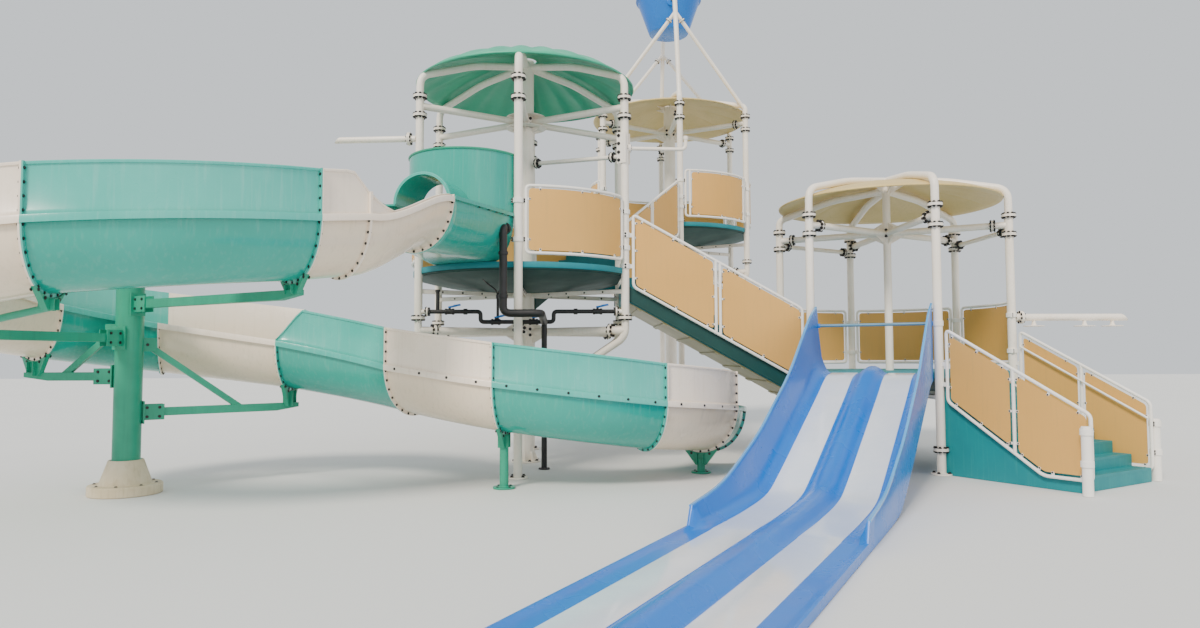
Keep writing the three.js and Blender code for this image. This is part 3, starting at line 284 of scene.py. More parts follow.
# Canopies: thin glass-fibre shells, weathered to a dull sheen
TEAL_CANOPY = Finish("teal_canopy", GEL, "#3bb38e", "#31a183", 0.42, 120, 1.2, 600, 0.6, 0.25, "#5ab398")
CREAM_CANOPY = Finish("cream_canopy", GEL, "#dcc383", "#cdb474", 0.5, 120, 1.2, 600, 0.6, 0.3, "#a8966a")
# Pressure pipe, moulded fittings and zinc-plated screws
BLACK_PIPE = Finish("black_pressure_pipe", MOULDED, "#1b1b1d", "#2a2a2c", 0.42, 5.0, 0.1, 200, 0.5, 0.2, "#4a4a48")
BLUE_LEVER = Finish("blue_moulded_lever", MOULDED, "#1f7fdc", "#1a72c8", 0.35, 4.0, 0.1, 120, 0.4)
BLACK_CAP = Finish("black_nylon_cap", MOULDED, "#141416", "#242426", 0.4, 3.0, 0.08, 60, 0.4)
STEEL_SCREW = Finish("dull_zinc_screw", COAT, "#6f6b62", "#57534b", 0.4, 3.0, 0.08, 60, 0.5)
# Cast concrete under a worn masonry paint
CAST_BASE = Finish("painted_concrete", Surface.CAST, "#dccfb6", "#c9b996", 0.85, 12.0, 1.2, 300, 0.7, 0.35, "#a3926e")


# ---- Shapes


def new_object(name: str, data: bpy.types.ID) -> bpy.types.Object:
    """Adds an object to the scene."""
    made = bpy.data.objects.new(name, data)
    bpy.context.scene.collection.objects.link(made)
    return made


def plain_mesh(made: bpy.types.Object, name: str) -> bpy.types.Mesh:
    """Turns an object with its modifiers into a plain mesh and removes the object."""
    mesh = bpy.data.meshes.new_from_object(made.evaluated_get(bpy.context.evaluated_depsgraph_get()))
    bpy.data.objects.remove(made)
    mesh.name = name
    return mesh


def smooth(mesh: bpy.types.Mesh, crease: float = 30.0) -> None:
    """Shades a mesh smooth, with edges sharp past an angle in degrees."""
    mesh.shade_smooth()
    mesh.set_sharp_from_angle(angle=math.radians(crease))


def heading_vector(degrees: float) -> Vector:
    """The level direction of a heading."""
    return Vector((math.cos(math.radians(degrees)), math.sin(math.radians(degrees)), 0))


def square_to(axis: Vector) -> tuple[Vector, Vector]:
    """Two unit vectors square to an axis and to each other."""
    helper = UP if abs(axis.normalized().z) < 0.9 else Vector((1, 0, 0))
    across = helper.cross(axis).normalized()
    return across, axis.cross(across).normalized()


def circle(centre: Vector, axis: Vector, radius: float, sides: int, phase: float = 0.0) -> list[Vector]:
    """Points of a circle round an axis."""
    across, up = square_to(axis)
    turns = [phase + 2 * math.pi * k / sides for k in range(sides)]
    return [centre + radius * (math.cos(a) * across + math.sin(a) * up) for a in turns]


def bend(corners: Sequence[Vector], cut: float, steps: int = 7, loop: bool = False) -> list[Vector]:
    """Rounds the corners of a route.

    Args:
        corners: Corners of the route.
        cut: Distance from a corner at which its bend starts, less where a leg is short.
        steps: Steps of a bend.
        loop: Whether the route closes on itself.

    Returns:
        The points of the rounded route.
    """
    count = len(corners)
    inner = range(count) if loop else range(1, count - 1)
    points = [] if loop else [corners[0].copy()]
    for i in inner:
        a, b, c = corners[i - 1], corners[i], corners[(i + 1) % count]
        reach = min(cut, (a - b).length * 0.49, (c - b).length * 0.49)
        start = b + (a - b).normalized() * reach
        end = b + (c - b).normalized() * reach
        for k in range(steps + 1):
            t = k / steps
            points.append(start * (1 - t) ** 2 + b * (2 * t * (1 - t)) + end * t**2)
    if not loop:
        points.append(corners[-1].copy())
    return points


def divide(points: Sequence[Vector], spacing: float, loop: bool = False) -> list[Vector]:
    """Adds points on a route's legs so that none is longer than a spacing."""
    made: list[Vector] = []
    legs = len(points) if loop else len(points) - 1
    for i in range(legs):
        a, b = points[i], points[(i + 1) % len(points)]
        parts = max(1, math.ceil((b - a).length / spacing))
        made.extend(a.lerp(b, k / parts) for k in range(parts))
    return made if loop else [*made, points[-1].copy()]


@dataclass
class Mould:
    """Collects closed bodies, each with a finish, into the mesh of one piece."""

    points: list[Vector] = field(default_factory=list)
    faces: list[tuple[int, ...]] = field(default_factory=list)
    marks: list[int] = field(default_factory=list)

    def loft(self, rings: Sequence[Sequence[Vector]], finish: int = 0, loop: bool = False) -> None:
        """Joins rings of points into a closed body.

        Args:
            rings: Rings with equal numbers of points.
            finish: Number of the body's finish.
            loop: Whether the last ring joins the first; otherwise the ends are capped.
        """
        base, sides = len(self.points), len(rings[0])
        for ring in rings:
            self.points.extend(ring)
        count = len(rings)
        faces: list[tuple[int, ...]] = []
        for i in range(count if loop else count - 1):
            here, there = base + i * sides, base + ((i + 1) % count) * sides
            for k in range(sides):
                n = (k + 1) % sides
                faces.append((here + k, here + n, there + n, there + k))
        if not loop:
            faces.append(tuple(range(base + sides - 1, base - 1, -1)))
            faces.append(tuple(range(base + (count - 1) * sides, base + count * sides)))
        self.faces.extend(faces)
        self.marks.extend([finish] * len(faces))

    def tube(
        self, path: Sequence[Vector], radius: float, sides: int = 16, finish: int = 0, loop: bool = False
    ) -> None:
        """A round bar along a path."""
        count = len(path)
        tangents = []
        for i in range(count):
            before = path[i] - path[i - 1] if i or loop else path[1] - path[0]
            after = path[(i + 1) % count] - path[i] if i < count - 1 or loop else before
            tangents.append((before.normalized() + after.normalized()).normalized())
        across, _ = square_to(tangents[0])
        frames = [across]
        for i in range(1, count):
            turn = tangents[i - 1].rotation_difference(tangents[i])
            frames.append(turn @ frames[-1])
        twist = 0.0
        if loop:
            last = tangents[-1].rotation_difference(tangents[0]) @ frames[-1]
            twist = math.atan2(tangents[0].dot(last.cross(frames[0])), last.dot(frames[0]))
        rings = []
        for i, (point, tangent, side) in enumerate(zip(path, tangents, frames)):
            up = tangent.cross(side)
            lean = twist * i / count
            turns = [2 * math.pi * k / sides + lean for k in range(sides)]
            rings.append([point + radius * (math.cos(a) * side + math.sin(a) * up) for a in turns])
        self.loft(rings, finish, loop)

    def bar(self, start: Vector, end: Vector, radius: float, sides: int = 20, finish: int = 0) -> None:
        """A straight round bar."""
        self.tube([start, end], radius, sides, finish)

    def spin(
        self, profile: Rows, base: Vector, axis: Vector = UP, sides: int = 32, finish: int = 0, loop: bool = False
    ) -> None:
        """A turned body from a profile of radius and distance along an axis."""
        unit = axis.normalized()
        self.loft([circle(base + unit * z, unit, r, sides) for r, z in profile], finish, loop)

    def washer(self, base: Vector, axis: Vector, inner: float, outer: float, thick: float, sides: int = 32) -> None:
        """A flat ring with eased edges from a base along an axis."""
        e = min(0.003, thick / 4)
        profile = [(inner, 0), (outer - e, 0), (outer, e), (outer, thick - e), (outer - e, thick), (inner, thick)]
        self.spin(profile, base, axis, sides, loop=True)

    def block(
        self, centre: Vector, along: Vector, across: Vector, size: tuple[float, float, float], finish: int = 0
    ) -> None:
        """A rectangular bar by its centre, two directions and its size."""
        x, y = along.normalized(), across.normalized()
        z = x.cross(y).normalized()
        y = z.cross(x).normalized()
        a, b, c = (s / 2 for s in size)
        ring = [(-1, -1), (1, -1), (1, 1), (-1, 1)]
        self.loft([[centre + x * (s * a) + y * (u * b) + z * (v * c) for u, v in ring] for s in (-1, 1)], finish)

    def strut(self, start: Vector, end: Vector, across: Vector, wide: float, thick: float) -> None:
        """A rectangular bar from end to end."""
        self.block((start + end) / 2, end - start, across, ((end - start).length, wide, thick))

    def mesh(self, name: str, finishes: Sequence[Finish] = ()) -> bpy.types.Mesh:
        """Turns what was collected into a mesh whose faces look outwards."""
        mesh = bpy.data.meshes.new(name)
        mesh.from_pydata([tuple(p) for p in self.points], [], self.faces)
        for finish in finishes:
            mesh.materials.append(finish.material())
        mesh.polygons.foreach_set("material_index", self.marks)
        work = bmesh.new()
        work.from_mesh(mesh)
        bmesh.ops.recalc_face_normals(work, faces=work.faces)
        work.to_mesh(mesh)
        work.free()
        return mesh

    def piece(
        self, name: str, finishes: Sequence[Finish], slot: str, nodes: Sequence[str] = (),
        body: str = "structure", bevel: float = 0.0, crease: float = 30.0,
    ) -> bpy.types.Object:
        """Turns what was collected into a finished piece.

        Args:
            name: Name of the piece.
            finishes: Its finishes, in the order of their numbers.
            slot: Material slot of the record; passed on but not used.
            nodes: CAD nodes that it stands for.
            body: CAD body that it rides on.
            bevel: Width of the eased edges, or zero.
            crease: Angle in degrees past which an edge stays sharp.

        Returns:
            The finished object.
        """
        mesh = self.mesh(name, finishes)
        smooth(mesh, crease)
        made = new_object(name, mesh)
        if bevel > 0:
            eased = made.modifiers.new("eased_edges", "BEVEL")
            eased.width, eased.segments, eased.limit_method = bevel, 2, "ANGLE"
            eased.angle_limit = math.radians(50)
        return hand_in(made, slot, nodes, body)


def hand_in(made: bpy.types.Object, slot: str, nodes: Sequence[str], body: str) -> bpy.types.Object:
    """Puts a finished object on its body in place of its CAD nodes and reports it.

    Args:
        made: The finished object.
        slot: Material slot of the record; not used.
        nodes: CAD nodes that it stands for.
        body: CAD body that it rides on.

    Returns:
        The same object.
    """
    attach(made, body)
    if nodes:
        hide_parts(*nodes)
    LOG.info("%s: %d faces", made.name, len(made.data.polygons))
    return made


# ---- Node trees for what repeats


class RepeatTree:
    """A Geometry Nodes tree with named inputs, built once, that runs on a mesh."""

    name = ""
    sizes: tuple[str, ...] = ()
    counts: tuple[str, ...] = ()
    made: Tree | None = None

    @classmethod
    def run(cls, source: bpy.types.Mesh, values: dict[str, object], name: str) -> bpy.types.Mesh:
        """Runs the tree on a mesh and returns the result as a plain mesh.

        Args:
            source: Mesh that goes in.
            values: Input name to its value.
            name: Name of the resulting mesh.

        Returns:
            The plain mesh.
        """
        cls.made = cls.made or cls._tree()
        holder = new_object(name + "_source", source)
        modifier = holder.modifiers.new(cls.name, "NODES")
        modifier.node_group = cls.made
        for socket in cls.made.interface.items_tree:
            if socket.in_out == "INPUT" and socket.name in values:
                modifier[socket.identifier] = values[socket.name]
        return plain_mesh(holder, name)

    @classmethod
    def _tree(cls) -> Tree:
        """Makes the tree: its inputs, its shape, and the end that makes it real and gives it its finish."""
        tree = bpy.data.node_groups.new(cls.name, "GeometryNodeTree")
        kinds = {"Geometry": "NodeSocketGeometry", "Finish": "NodeSocketMaterial"}
        kinds |= dict.fromkeys(cls.sizes, "NodeSocketFloat") | dict.fromkeys(cls.counts, "NodeSocketInt")
        for label, kind in kinds.items():
            tree.interface.new_socket(label, in_out="INPUT", socket_type=kind)
        tree.interface.new_socket("Geometry", in_out="OUTPUT", socket_type="NodeSocketGeometry")
        given = add_node(tree, "NodeGroupInput").outputs
        real = add_node(tree, "GeometryNodeRealizeInstances", {"Geometry": cls._shape(tree, given)})
        inputs = {"Geometry": real.outputs[0], "Material": given["Finish"]}
        add_node(tree, "NodeGroupOutput", {0: add_node(tree, "GeometryNodeSetMaterial", inputs).outputs[0]})
        return tree

    @classmethod
    def _shape(cls, tree: Tree, given: bpy.types.NodeOutputs) -> Socket:
        """Adds the nodes of the shape and returns their result."""
        raise NotImplementedError


class FastenerTree(RepeatTree):
    """A capped hexagon head on a washer at every point, turned to the point's axis."""

    name = "fastener_rows"
    sizes = ("Head radius", "Head height")

    @classmethod
    def _shape(cls, tree: Tree, given: bpy.types.NodeOutputs) -> Socket:
        """Adds the nodes that set a head and its washer on every point."""
        axis = add_node(tree, "GeometryNodeInputNamedAttribute", {"Name": "axis"}, data_type="FLOAT_VECTOR")
        turn = add_node(tree, "FunctionNodeAlignRotationToVector", {"Vector": axis.outputs[0]}, axis="Z")
        both = add_node(tree, "GeometryNodeJoinGeometry")
        for sides, wide, middle in ((6, 1.0, 0.62), (10, 1.42, 0.2)):
            disc = cls._disc(tree, given["Head radius"], given["Head height"], sides, wide, middle)
            tree.links.new(disc, both.inputs[0])
        inputs = {"Points": given["Geometry"], "Instance": both.outputs[0], "Rotation": turn.outputs[0]}
        return add_node(tree, "GeometryNodeInstanceOnPoints", inputs).outputs[0]

    @staticmethod
    def _disc(tree: Tree, radius: Socket, height: Socket, sides: int, wide: float, middle: float) -> Socket:
        """A short cylinder round the axis, sized by the head's radius and height."""
        reach, depth, rise = (
            add_node(tree, "ShaderNodeMath", {0: size, 1: share}, operation="MULTIPLY").outputs[0]
            for size, share in ((radius, wide), (height, middle * 1.2), (height, middle * 0.6))
        )
        inputs = {"Vertices": sides, "Radius": reach, "Depth": depth}
        body = add_node(tree, "GeometryNodeMeshCylinder", inputs).outputs[0]
        lift = add_node(tree, "ShaderNodeCombineXYZ", {"Z": rise}).outputs[0]
        return add_node(tree, "GeometryNodeTransform", {"Geometry": body, "Translation": lift}).outputs[0]


@dataclass
class Fasteners:
    """Places of the bolts or screws of one sub-assembly."""

    points: list[Vector] = field(default_factory=list)
    axes: list[Vector] = field(default_factory=list)

    def put(self, point: Vector, axis: Vector) -> None:
        """Adds one fastener that stands on a point along an axis."""
        self.points.append(point.copy())
        self.axes.append(axis.normalized())

    def ring(self, centre: Vector, axis: Vector, radius: float, count: int, phase: float = 0.2) -> None:
        """Adds a ring of fasteners."""
        for point in circle(centre, axis, radius, count, phase):
            self.put(point, axis)

    def pair(self, low: Vector, high: Vector, radius: float, count: int = 8) -> None:
        """Adds rings of fasteners that stand outwards on both faces of a bolted joint."""
        axis = (high - low).normalized()
        self.ring(high, axis, radius, count)
        for point in circle(high, axis, radius, count, 0.2):
            self.put(point - (high - low), -axis)

    def piece(
        self, name: str, radius: float, height: float, finish: Finish = BLACK_CAP, slot: str = "black_pipe"
    ) -> None:
        """Builds the fasteners as one piece on the structure."""
        source = bpy.data.meshes.new(name + "_places")
        source.from_pydata([tuple(p) for p in self.points], [], [])
        axis = source.attributes.new("axis", "FLOAT_VECTOR", "POINT")
        axis.data.foreach_set("vector", [c for a in self.axes for c in a])
        values = {"Head radius": radius, "Head height": height, "Finish": finish.material()}
        made = new_object(name, FastenerTree.run(source, values, name))
        hand_in(made, slot, (), "structure")


class CanopyTree(RepeatTree):
    """A round shell from crown to rim, whose folds swell part way out and sink into the smooth rim."""

    name = "canopy_shell"
    sizes = ("Radius", "Rise", "Folds", "Fold height", "Fold sharpness")
    rings = 22
    steps = 361
    hub = 0.18

    @classmethod
    def _shape(cls, tree: Tree, given: bpy.types.NodeOutputs) -> Socket:
        """Adds the nodes that bend a grid whose columns go round and whose rows go out."""

        def maths(operation: str, a: object, b: object = 0.0) -> Socket:
            """One sum of the shape's rule."""
            return add_node(tree, "ShaderNodeMath", {0: a, 1: b}, operation=operation).outputs[0]

        inputs = {"Size X": 1.0, "Size Y": 1.0, "Vertices X": cls.steps, "Vertices Y": cls.rings}
        grid = add_node(tree, "GeometryNodeMeshGrid", inputs).outputs[0]
        place = add_node(tree, "GeometryNodeInputPosition")
        split = add_node(tree, "ShaderNodeSeparateXYZ", {0: place.outputs[0]})
        turn = maths("MULTIPLY", maths("ADD", split.outputs[0], 0.5), 2 * math.pi)
        share = maths("ADD", split.outputs[1], 0.5)
        span = maths("SUBTRACT", given["Radius"], cls.hub)
        radius = maths("ADD", maths("MULTIPLY", share, span), cls.hub)
        inner = cls.hub**2
        whole = maths("SUBTRACT", maths("POWER", given["Radius"], 2.0), inner)
        fall = maths("DIVIDE", maths("SUBTRACT", maths("POWER", radius, 2.0), inner), whole)
        wave = maths("ADD", maths("MULTIPLY", maths("COSINE", maths("MULTIPLY", turn, given["Folds"])), 0.5), 0.5)
        fold = maths("POWER", wave, given["Fold sharpness"])
        ease = maths("MULTIPLY", maths("POWER", share, 1.5), maths("SUBTRACT", 1.0, maths("POWER", share, 8.0)))
        swell = maths("MULTIPLY", maths("MULTIPLY", fold, ease), given["Fold height"])
        level = maths("SUBTRACT", swell, maths("MULTIPLY", fall, given["Rise"]))
        x, y = (maths("MULTIPLY", radius, maths(wave, turn)) for wave in ("COSINE", "SINE"))
        spot = add_node(tree, "ShaderNodeCombineXYZ", {"X": x, "Y": y, "Z": level}).outputs[0]
        shaped = add_node(tree, "GeometryNodeSetPosition", {"Geometry": grid, "Position": spot}).outputs[0]
        closed = add_node(tree, "GeometryNodeMergeByDistance", {"Geometry": shaped, "Distance": 0.0002})
        return add_node(tree, "GeometryNodeSetShadeSmooth", {"Geometry": closed.outputs[0]}).outputs[0]


class TreadTree(RepeatTree):
    """A row of equal treads up a stair: each point of a line gets one moulded nosing with its ribs."""

    name = "tread_row"
    sizes = ("Going", "Rise", "Width")
    counts = ("Count",)
    nosing = (-0.012, -0.014, 0.03, 0.034)
    ribs = tuple((back, 0.0, 0.012, 0.006) for back in (-0.07, -0.11, -0.15))

    @classmethod
    def _shape(cls, tree: Tree, given: bpy.types.NodeOutputs) -> Socket:
        """Adds the nodes of the row: X goes down the stair, Y across it."""
        drop = add_node(tree, "ShaderNodeMath", {0: given["Rise"], 1: -1.0}, operation="MULTIPLY")
        step = add_node(tree, "ShaderNodeCombineXYZ", {"X": given["Going"], "Z": drop.outputs[0]})
        row = add_node(tree, "GeometryNodeMeshLine", {"Count": given["Count"], "Offset": step.outputs[0]})
        parts = add_node(tree, "GeometryNodeJoinGeometry")
        for back, lift, deep, high in (cls.nosing, *cls.ribs):
            size = add_node(tree, "ShaderNodeCombineXYZ", {"X": deep, "Y": given["Width"], "Z": high})
            rib = add_node(tree, "GeometryNodeMeshCube", {"Size": size.outputs[0]})
            inputs = {"Geometry": rib.outputs[0], "Translation": (back, 0.0, lift)}
            tree.links.new(add_node(tree, "GeometryNodeTransform", inputs).outputs[0], parts.inputs[0])
        inputs = {"Points": row.outputs[0], "Instance": parts.outputs[0]}
        return add_node(tree, "GeometryNodeInstanceOnPoints", inputs).outputs[0]


# ---- Towers


@dataclass(frozen=True)
class TowerPlan:
    """Where a tower stands and the levels of its parts.

    Low and high are the posts' joint and head, rim and crown those of the canopy, and the feet are
    the levels where the posts start.
    """

    name: str
    x: float
    y: float
    deck: float
    low: float
    high: float
    rim: float
    crown: float
    hub_low: float
    feet: tuple[float, ...]
    column: float = COLUMN_R

    def corner(self, i: float, level: float, radius: float = POST_CIRCLE) -> Vector:
        """A point on the post circle, or on another radius, by corner number."""
        a = math.radians(-90 + 60 * i)
        return Vector((self.x + radius * math.cos(a), self.y + radius * math.sin(a), level))

    def beside(self, side: int, out: float, along: float, level: float) -> Vector:
        """A point out from the middle of a side, and along it to the left as seen from outside."""
        c, s = math.cos(math.radians(-60 + 60 * side)), math.sin(math.radians(-60 + 60 * side))
        reach = SIDE_OUT + out
        return Vector((self.x + reach * c + along * s, self.y + reach * s - along * c, level))

    def across(self, side: int) -> Vector:
        """The direction along a side, to the left as seen from outside."""
        return (self.beside(side, 0, 1, 0) - self.beside(side, 0, 0, 0)).normalized()

    def away(self, side: int) -> Vector:
        """The direction straight out from a side."""
        return (self.beside(side, 1, 0, 0) - self.beside(side, 0, 0, 0)).normalized()

    def arc(self, side: int, share: float, out: float, level: float) -> Vector:
        """A point on the circle through the posts by side and share of the side."""
        return self.corner(side + share, level, POST_CIRCLE + out)

    def centre(self, level: float) -> Vector:
        """The tower's axis at a level."""
        return Vector((self.x, self.y, level))

    def outward(self, i: float) -> Vector:
        """The direction from the axis to a corner."""
        return (self.corner(i, 0) - self.centre(0)).normalized()


TOWER_A = TowerPlan("tower_a", 0.0, 0.0, 3.19, 5.65, 5.96, 6.345, 6.888, 6.70, (0, 2.39, 2.39, 0, 2.39, 2.39))
TOWER_B = TowerPlan("tower_b", 3.14, 5.43864, 4.70, 6.99, 7.30, 7.42, 7.79, 7.675, (0, 3.93, 3.93, 0, 3.93, 3.93))
TOWER_C = TowerPlan("tower_c", 6.28, 0.0, 1.52, 3.74, 4.05, 4.36, 4.72, 4.565, (0,) * 6, POST_R)
STAIR_RUN = SPACING - 2 * SIDE_OUT


def gusset(steel: Mould, corner: Vector, level_edge: Vector, upright_edge: Vector, thick: float = 0.012) -> None:
    """A triangular stiffening plate by its corner and the ends of its two welded edges."""
    across = (level_edge - corner).cross(upright_edge - corner).normalized() * thick
    nose = 0.015
    first, second = (level_edge - corner).normalized() * nose, (upright_edge - corner).normalized() * nose
    outline = [corner, level_edge, level_edge + second, upright_edge + first, upright_edge]
    steel.loft([[p - across / 2 for p in outline], [p + across / 2 for p in outline]])


def flange_pair(steel: Mould, bolts: Fasteners, joint: Vector, axis: Vector, radius: float, bore: float) -> None:
    """Two bolted plates back to back across a joint in a tube."""
    unit = axis.normalized()
    thick = FLANGE_T if radius > 0.1 else 0.016
    for sign in (-1, 1):
        steel.washer(joint + unit * sign * 0.001, unit * sign, bore * 0.9, radius, thick)
    reach = unit * (thick + 0.001)
    bolts.pair(joint - reach, joint + reach, (bore + radius) / 2 + 0.004)


def sleeve(steel: Mould, bolts: Fasteners, plan: TowerPlan, level: float) -> None:
    """A sleeve round the column with a pair of bolts between the beams."""
    steel.washer(plan.centre(level - SLEEVE_H / 2), UP, plan.column, plan.column + SLEEVE_T, SLEEVE_H, 48)
    for k in range(6):
        out = plan.outward(k + 0.5)
        for up in (-0.05, 0.05):
            bolts.put(plan.centre(level + up) + out * (plan.column + SLEEVE_T), out)


@dataclass
class TowerFrame:
    """The column, six posts with their flanges, and the radial beams that tie them together."""

    plan: TowerPlan
    beam_joint: float = 0.24
    gusset_size: float = 0.19
    base_flare: float = 0.11
    foot_joint: float = 0.372
    feed_levels: tuple[float, float] = (5.08, 5.0)
    feed_r: float = 0.036
    stub_r: float = 0.038
    ring_level: float = 3.8
    ring_r: float = 0.04
    base_bolts: int = 8

    def build(self) -> None:
        """Builds the steel frame of the tower with its bolts."""
        plan, steel, bolts = self.plan, Mould(), Fasteners()
        self._column(bolts)
        level = (plan.low + plan.high) / 2
        sleeve(steel, bolts, plan, level)
        if plan is TOWER_A:
            for up in (SLEEVE_H / 2 - 0.012, -SLEEVE_H / 2):
                steel.washer(plan.centre(level + up), UP, plan.column, plan.column + 0.21, 0.012, 48)
        for i in range(6):
            self._post(steel, bolts, i)
            self._radial(steel, bolts, i, level)
        if plan is TOWER_A:
            self._feed_and_stubs(steel, bolts)
        elif plan is TOWER_C:
            self._ring_tubes(steel, bolts)
        steel.piece(f"{plan.name}_posts", [CREAM_COAT], "cream_steel", [f"{plan.name}_post_frame"])
        bolts.piece(f"{plan.name}_post_bolts", *POST_HEAD)

    def _column(self, bolts: Fasteners) -> None:
        """The central column on its base plate."""
        plan, steel = self.plan, Mould()
        r, foot = plan.column, plan.column + self.base_flare
        profile = [
            (foot, 0.0), (foot, FOOT_T - 0.004), (foot - 0.004, FOOT_T), (r + 0.012, FOOT_T),
            (r, FOOT_T + 0.012), (r, plan.hub_low - GAP),
        ]
        steel.spin(profile, plan.centre(0), sides=48)
        for k in range(self.base_bolts):
            out = plan.outward(k * 6 / self.base_bolts)
            base = plan.centre(FOOT_T)
            gusset(steel, base + out * r, base + out * (foot - 0.03), base + out * r + UP * 0.16)
        bolts.ring(plan.centre(FOOT_T), UP, foot - 0.035, self.base_bolts, 0.39)
        steel.piece(f"{plan.name}_column_tube", [CREAM_COAT], "cream_steel", [f"{plan.name}_column"])

    def _post(self, steel: Mould, bolts: Fasteners, i: int) -> None:
        """One post: its foot, its spliced flanges at the low joint and its head flange."""
        plan, foot = self.plan, self.plan.feet[i]
        plate, thick = (FLANGE_R, FLANGE_T) if foot > 0 else (FOOT_R, FOOT_T)
        r, t, bead = POST_R, FLANGE_T, 0.009
        head = plan.high - GAP
        profile = [(plate, foot), (plate, foot + thick), (r + bead, foot + thick), (r, foot + thick + bead)]
        for joint in (self.foot_joint, plan.low) if plan is TOWER_C else (plan.low,):
            half = [(FLANGE_R - 0.01, 0.0012), (FLANGE_R, 0.0015), (FLANGE_R, t), (r + bead, t), (r, t + bead)]
            profile += [(u, joint - v) for u, v in reversed(half)] + [(u, joint + v) for u, v in half]
            bolts.pair(plan.corner(i, joint - t), plan.corner(i, joint + t), POST_BOLTS)
        profile += [(r, head - t - bead), (r + bead, head - t), (FLANGE_R, head - t), (FLANGE_R, head)]
        steel.spin(profile, plan.corner(i, 0), sides=32)
        if foot == 0:
            bolts.ring(plan.corner(i, FOOT_T), UP, FOOT_BOLTS, 4, 0.78)

    def _radial(self, steel: Mould, bolts: Fasteners, i: int, level: float) -> None:
        """One radial beam with its bolted joint near the post and its gussets at the column."""
        plan, out = self.plan, self.plan.outward(i)
        start = plan.column + SLEEVE_T - 0.006
        steel.bar(plan.corner(i, level, start), plan.corner(i, level), BEAM_R, 24)
        if plan is not TOWER_A:
            joint = plan.corner(i, level, POST_CIRCLE - self.beam_joint)
            flange_pair(steel, bolts, joint, out, 0.092, BEAM_R)
        root = plan.corner(i, level, plan.column + SLEEVE_T - 0.004)
        size = self.gusset_size
        for sign in (-1, 1):
            edge = root + UP * sign * (BEAM_R - 0.004)
            tall = UP * sign * min(size * 0.8, SLEEVE_H / 2 - BEAM_R + 0.09)
            gusset(steel, edge - out * 0.03, edge + out * size, edge - out * 0.03 + tall)

    def _feed_and_stubs(self, steel: Mould, bolts: Fasteners) -> None:
        """Tower A's feed tube to the right post, its bracket, and the stubs of the manifold."""
        plan = self.plan
        start, end = plan.corner(1, self.feed_levels[0], plan.column), plan.corner(1, self.feed_levels[1])
        axis = (end - start).normalized()
        steel.bar(start, end, self.feed_r, 20)
        for joint in (start + axis * 0.1, end - axis * 0.22):
            flange_pair(steel, bolts, joint, axis, 0.078, self.feed_r)
        out = plan.outward(1)
        across = UP.cross(out)
        for sign in (-1, 1):
            centre = plan.corner(1, 5.13, POST_CIRCLE - 0.02) + across * sign * (POST_R + 0.008)
            steel.block(centre, out, UP, (0.16, 0.5, 0.016))
            for up in (-0.2, -0.07, 0.07, 0.2):
                bolts.put(centre + UP * up - out * 0.045 + across * sign * 0.008, across * sign)
        for sign in (-1, 1):
            face = Vector((sign * PIPE_REACH, PIPE_Y, PIPE_ENDS))
            far = Vector((sign * SIDE_OUT, PIPE_Y, PIPE_ENDS))
            steel.bar(face, far, self.stub_r, 20)
            steel.washer(face, Vector((sign, 0, 0)), 0.03, 0.07, 0.025)
            bolts.ring(face + Vector((sign * 0.025, 0, 0)), Vector((sign, 0, 0)), 0.055, 4)

    def _ring_tubes(self, steel: Mould, bolts: Fasteners) -> None:
        """Tower C's level tubes between posts, with their bolted joints."""
        plan = self.plan
        for i in (1, 3):
            start, end = plan.corner(i, self.ring_level), plan.corner(i + 1, self.ring_level)
            steel.bar(start, end, self.ring_r, 20)
            unit = (end - start).normalized()
            for joint in (start + unit * 0.2, end - unit * 0.2):
                flange_pair(steel, bolts, joint, unit, 0.072, self.ring_r)


@dataclass
class SlideBar:
    """The bar over the start of the slide, with its fittings at the slide's walls."""

    plan: TowerPlan = TOWER_C
    level: float = 2.25

    def build(self) -> None:
        """Builds the bar with its moulded fittings."""
        body = Mould()
        start, end = self.plan.corner(5, self.level), self.plan.corner(6, self.level)
        unit = (end - start).normalized()
        body.bar(start, end, GUARD_R, 20, 1)
        for post, sign in ((start, 1), (end, -1)):
            body.washer(post - UP * COLLAR_H / 2, UP, POST_R, POST_R + 0.012, COLLAR_H)
            body.bar(post + unit * sign * 0.07, post + unit * sign * 0.15, GUARD_R + 0.011, 20, 2)
        body.piece("slide_crossbar", [CREAM_COAT, TEAL_BAR, BLUE_LEVER], "cream_steel")


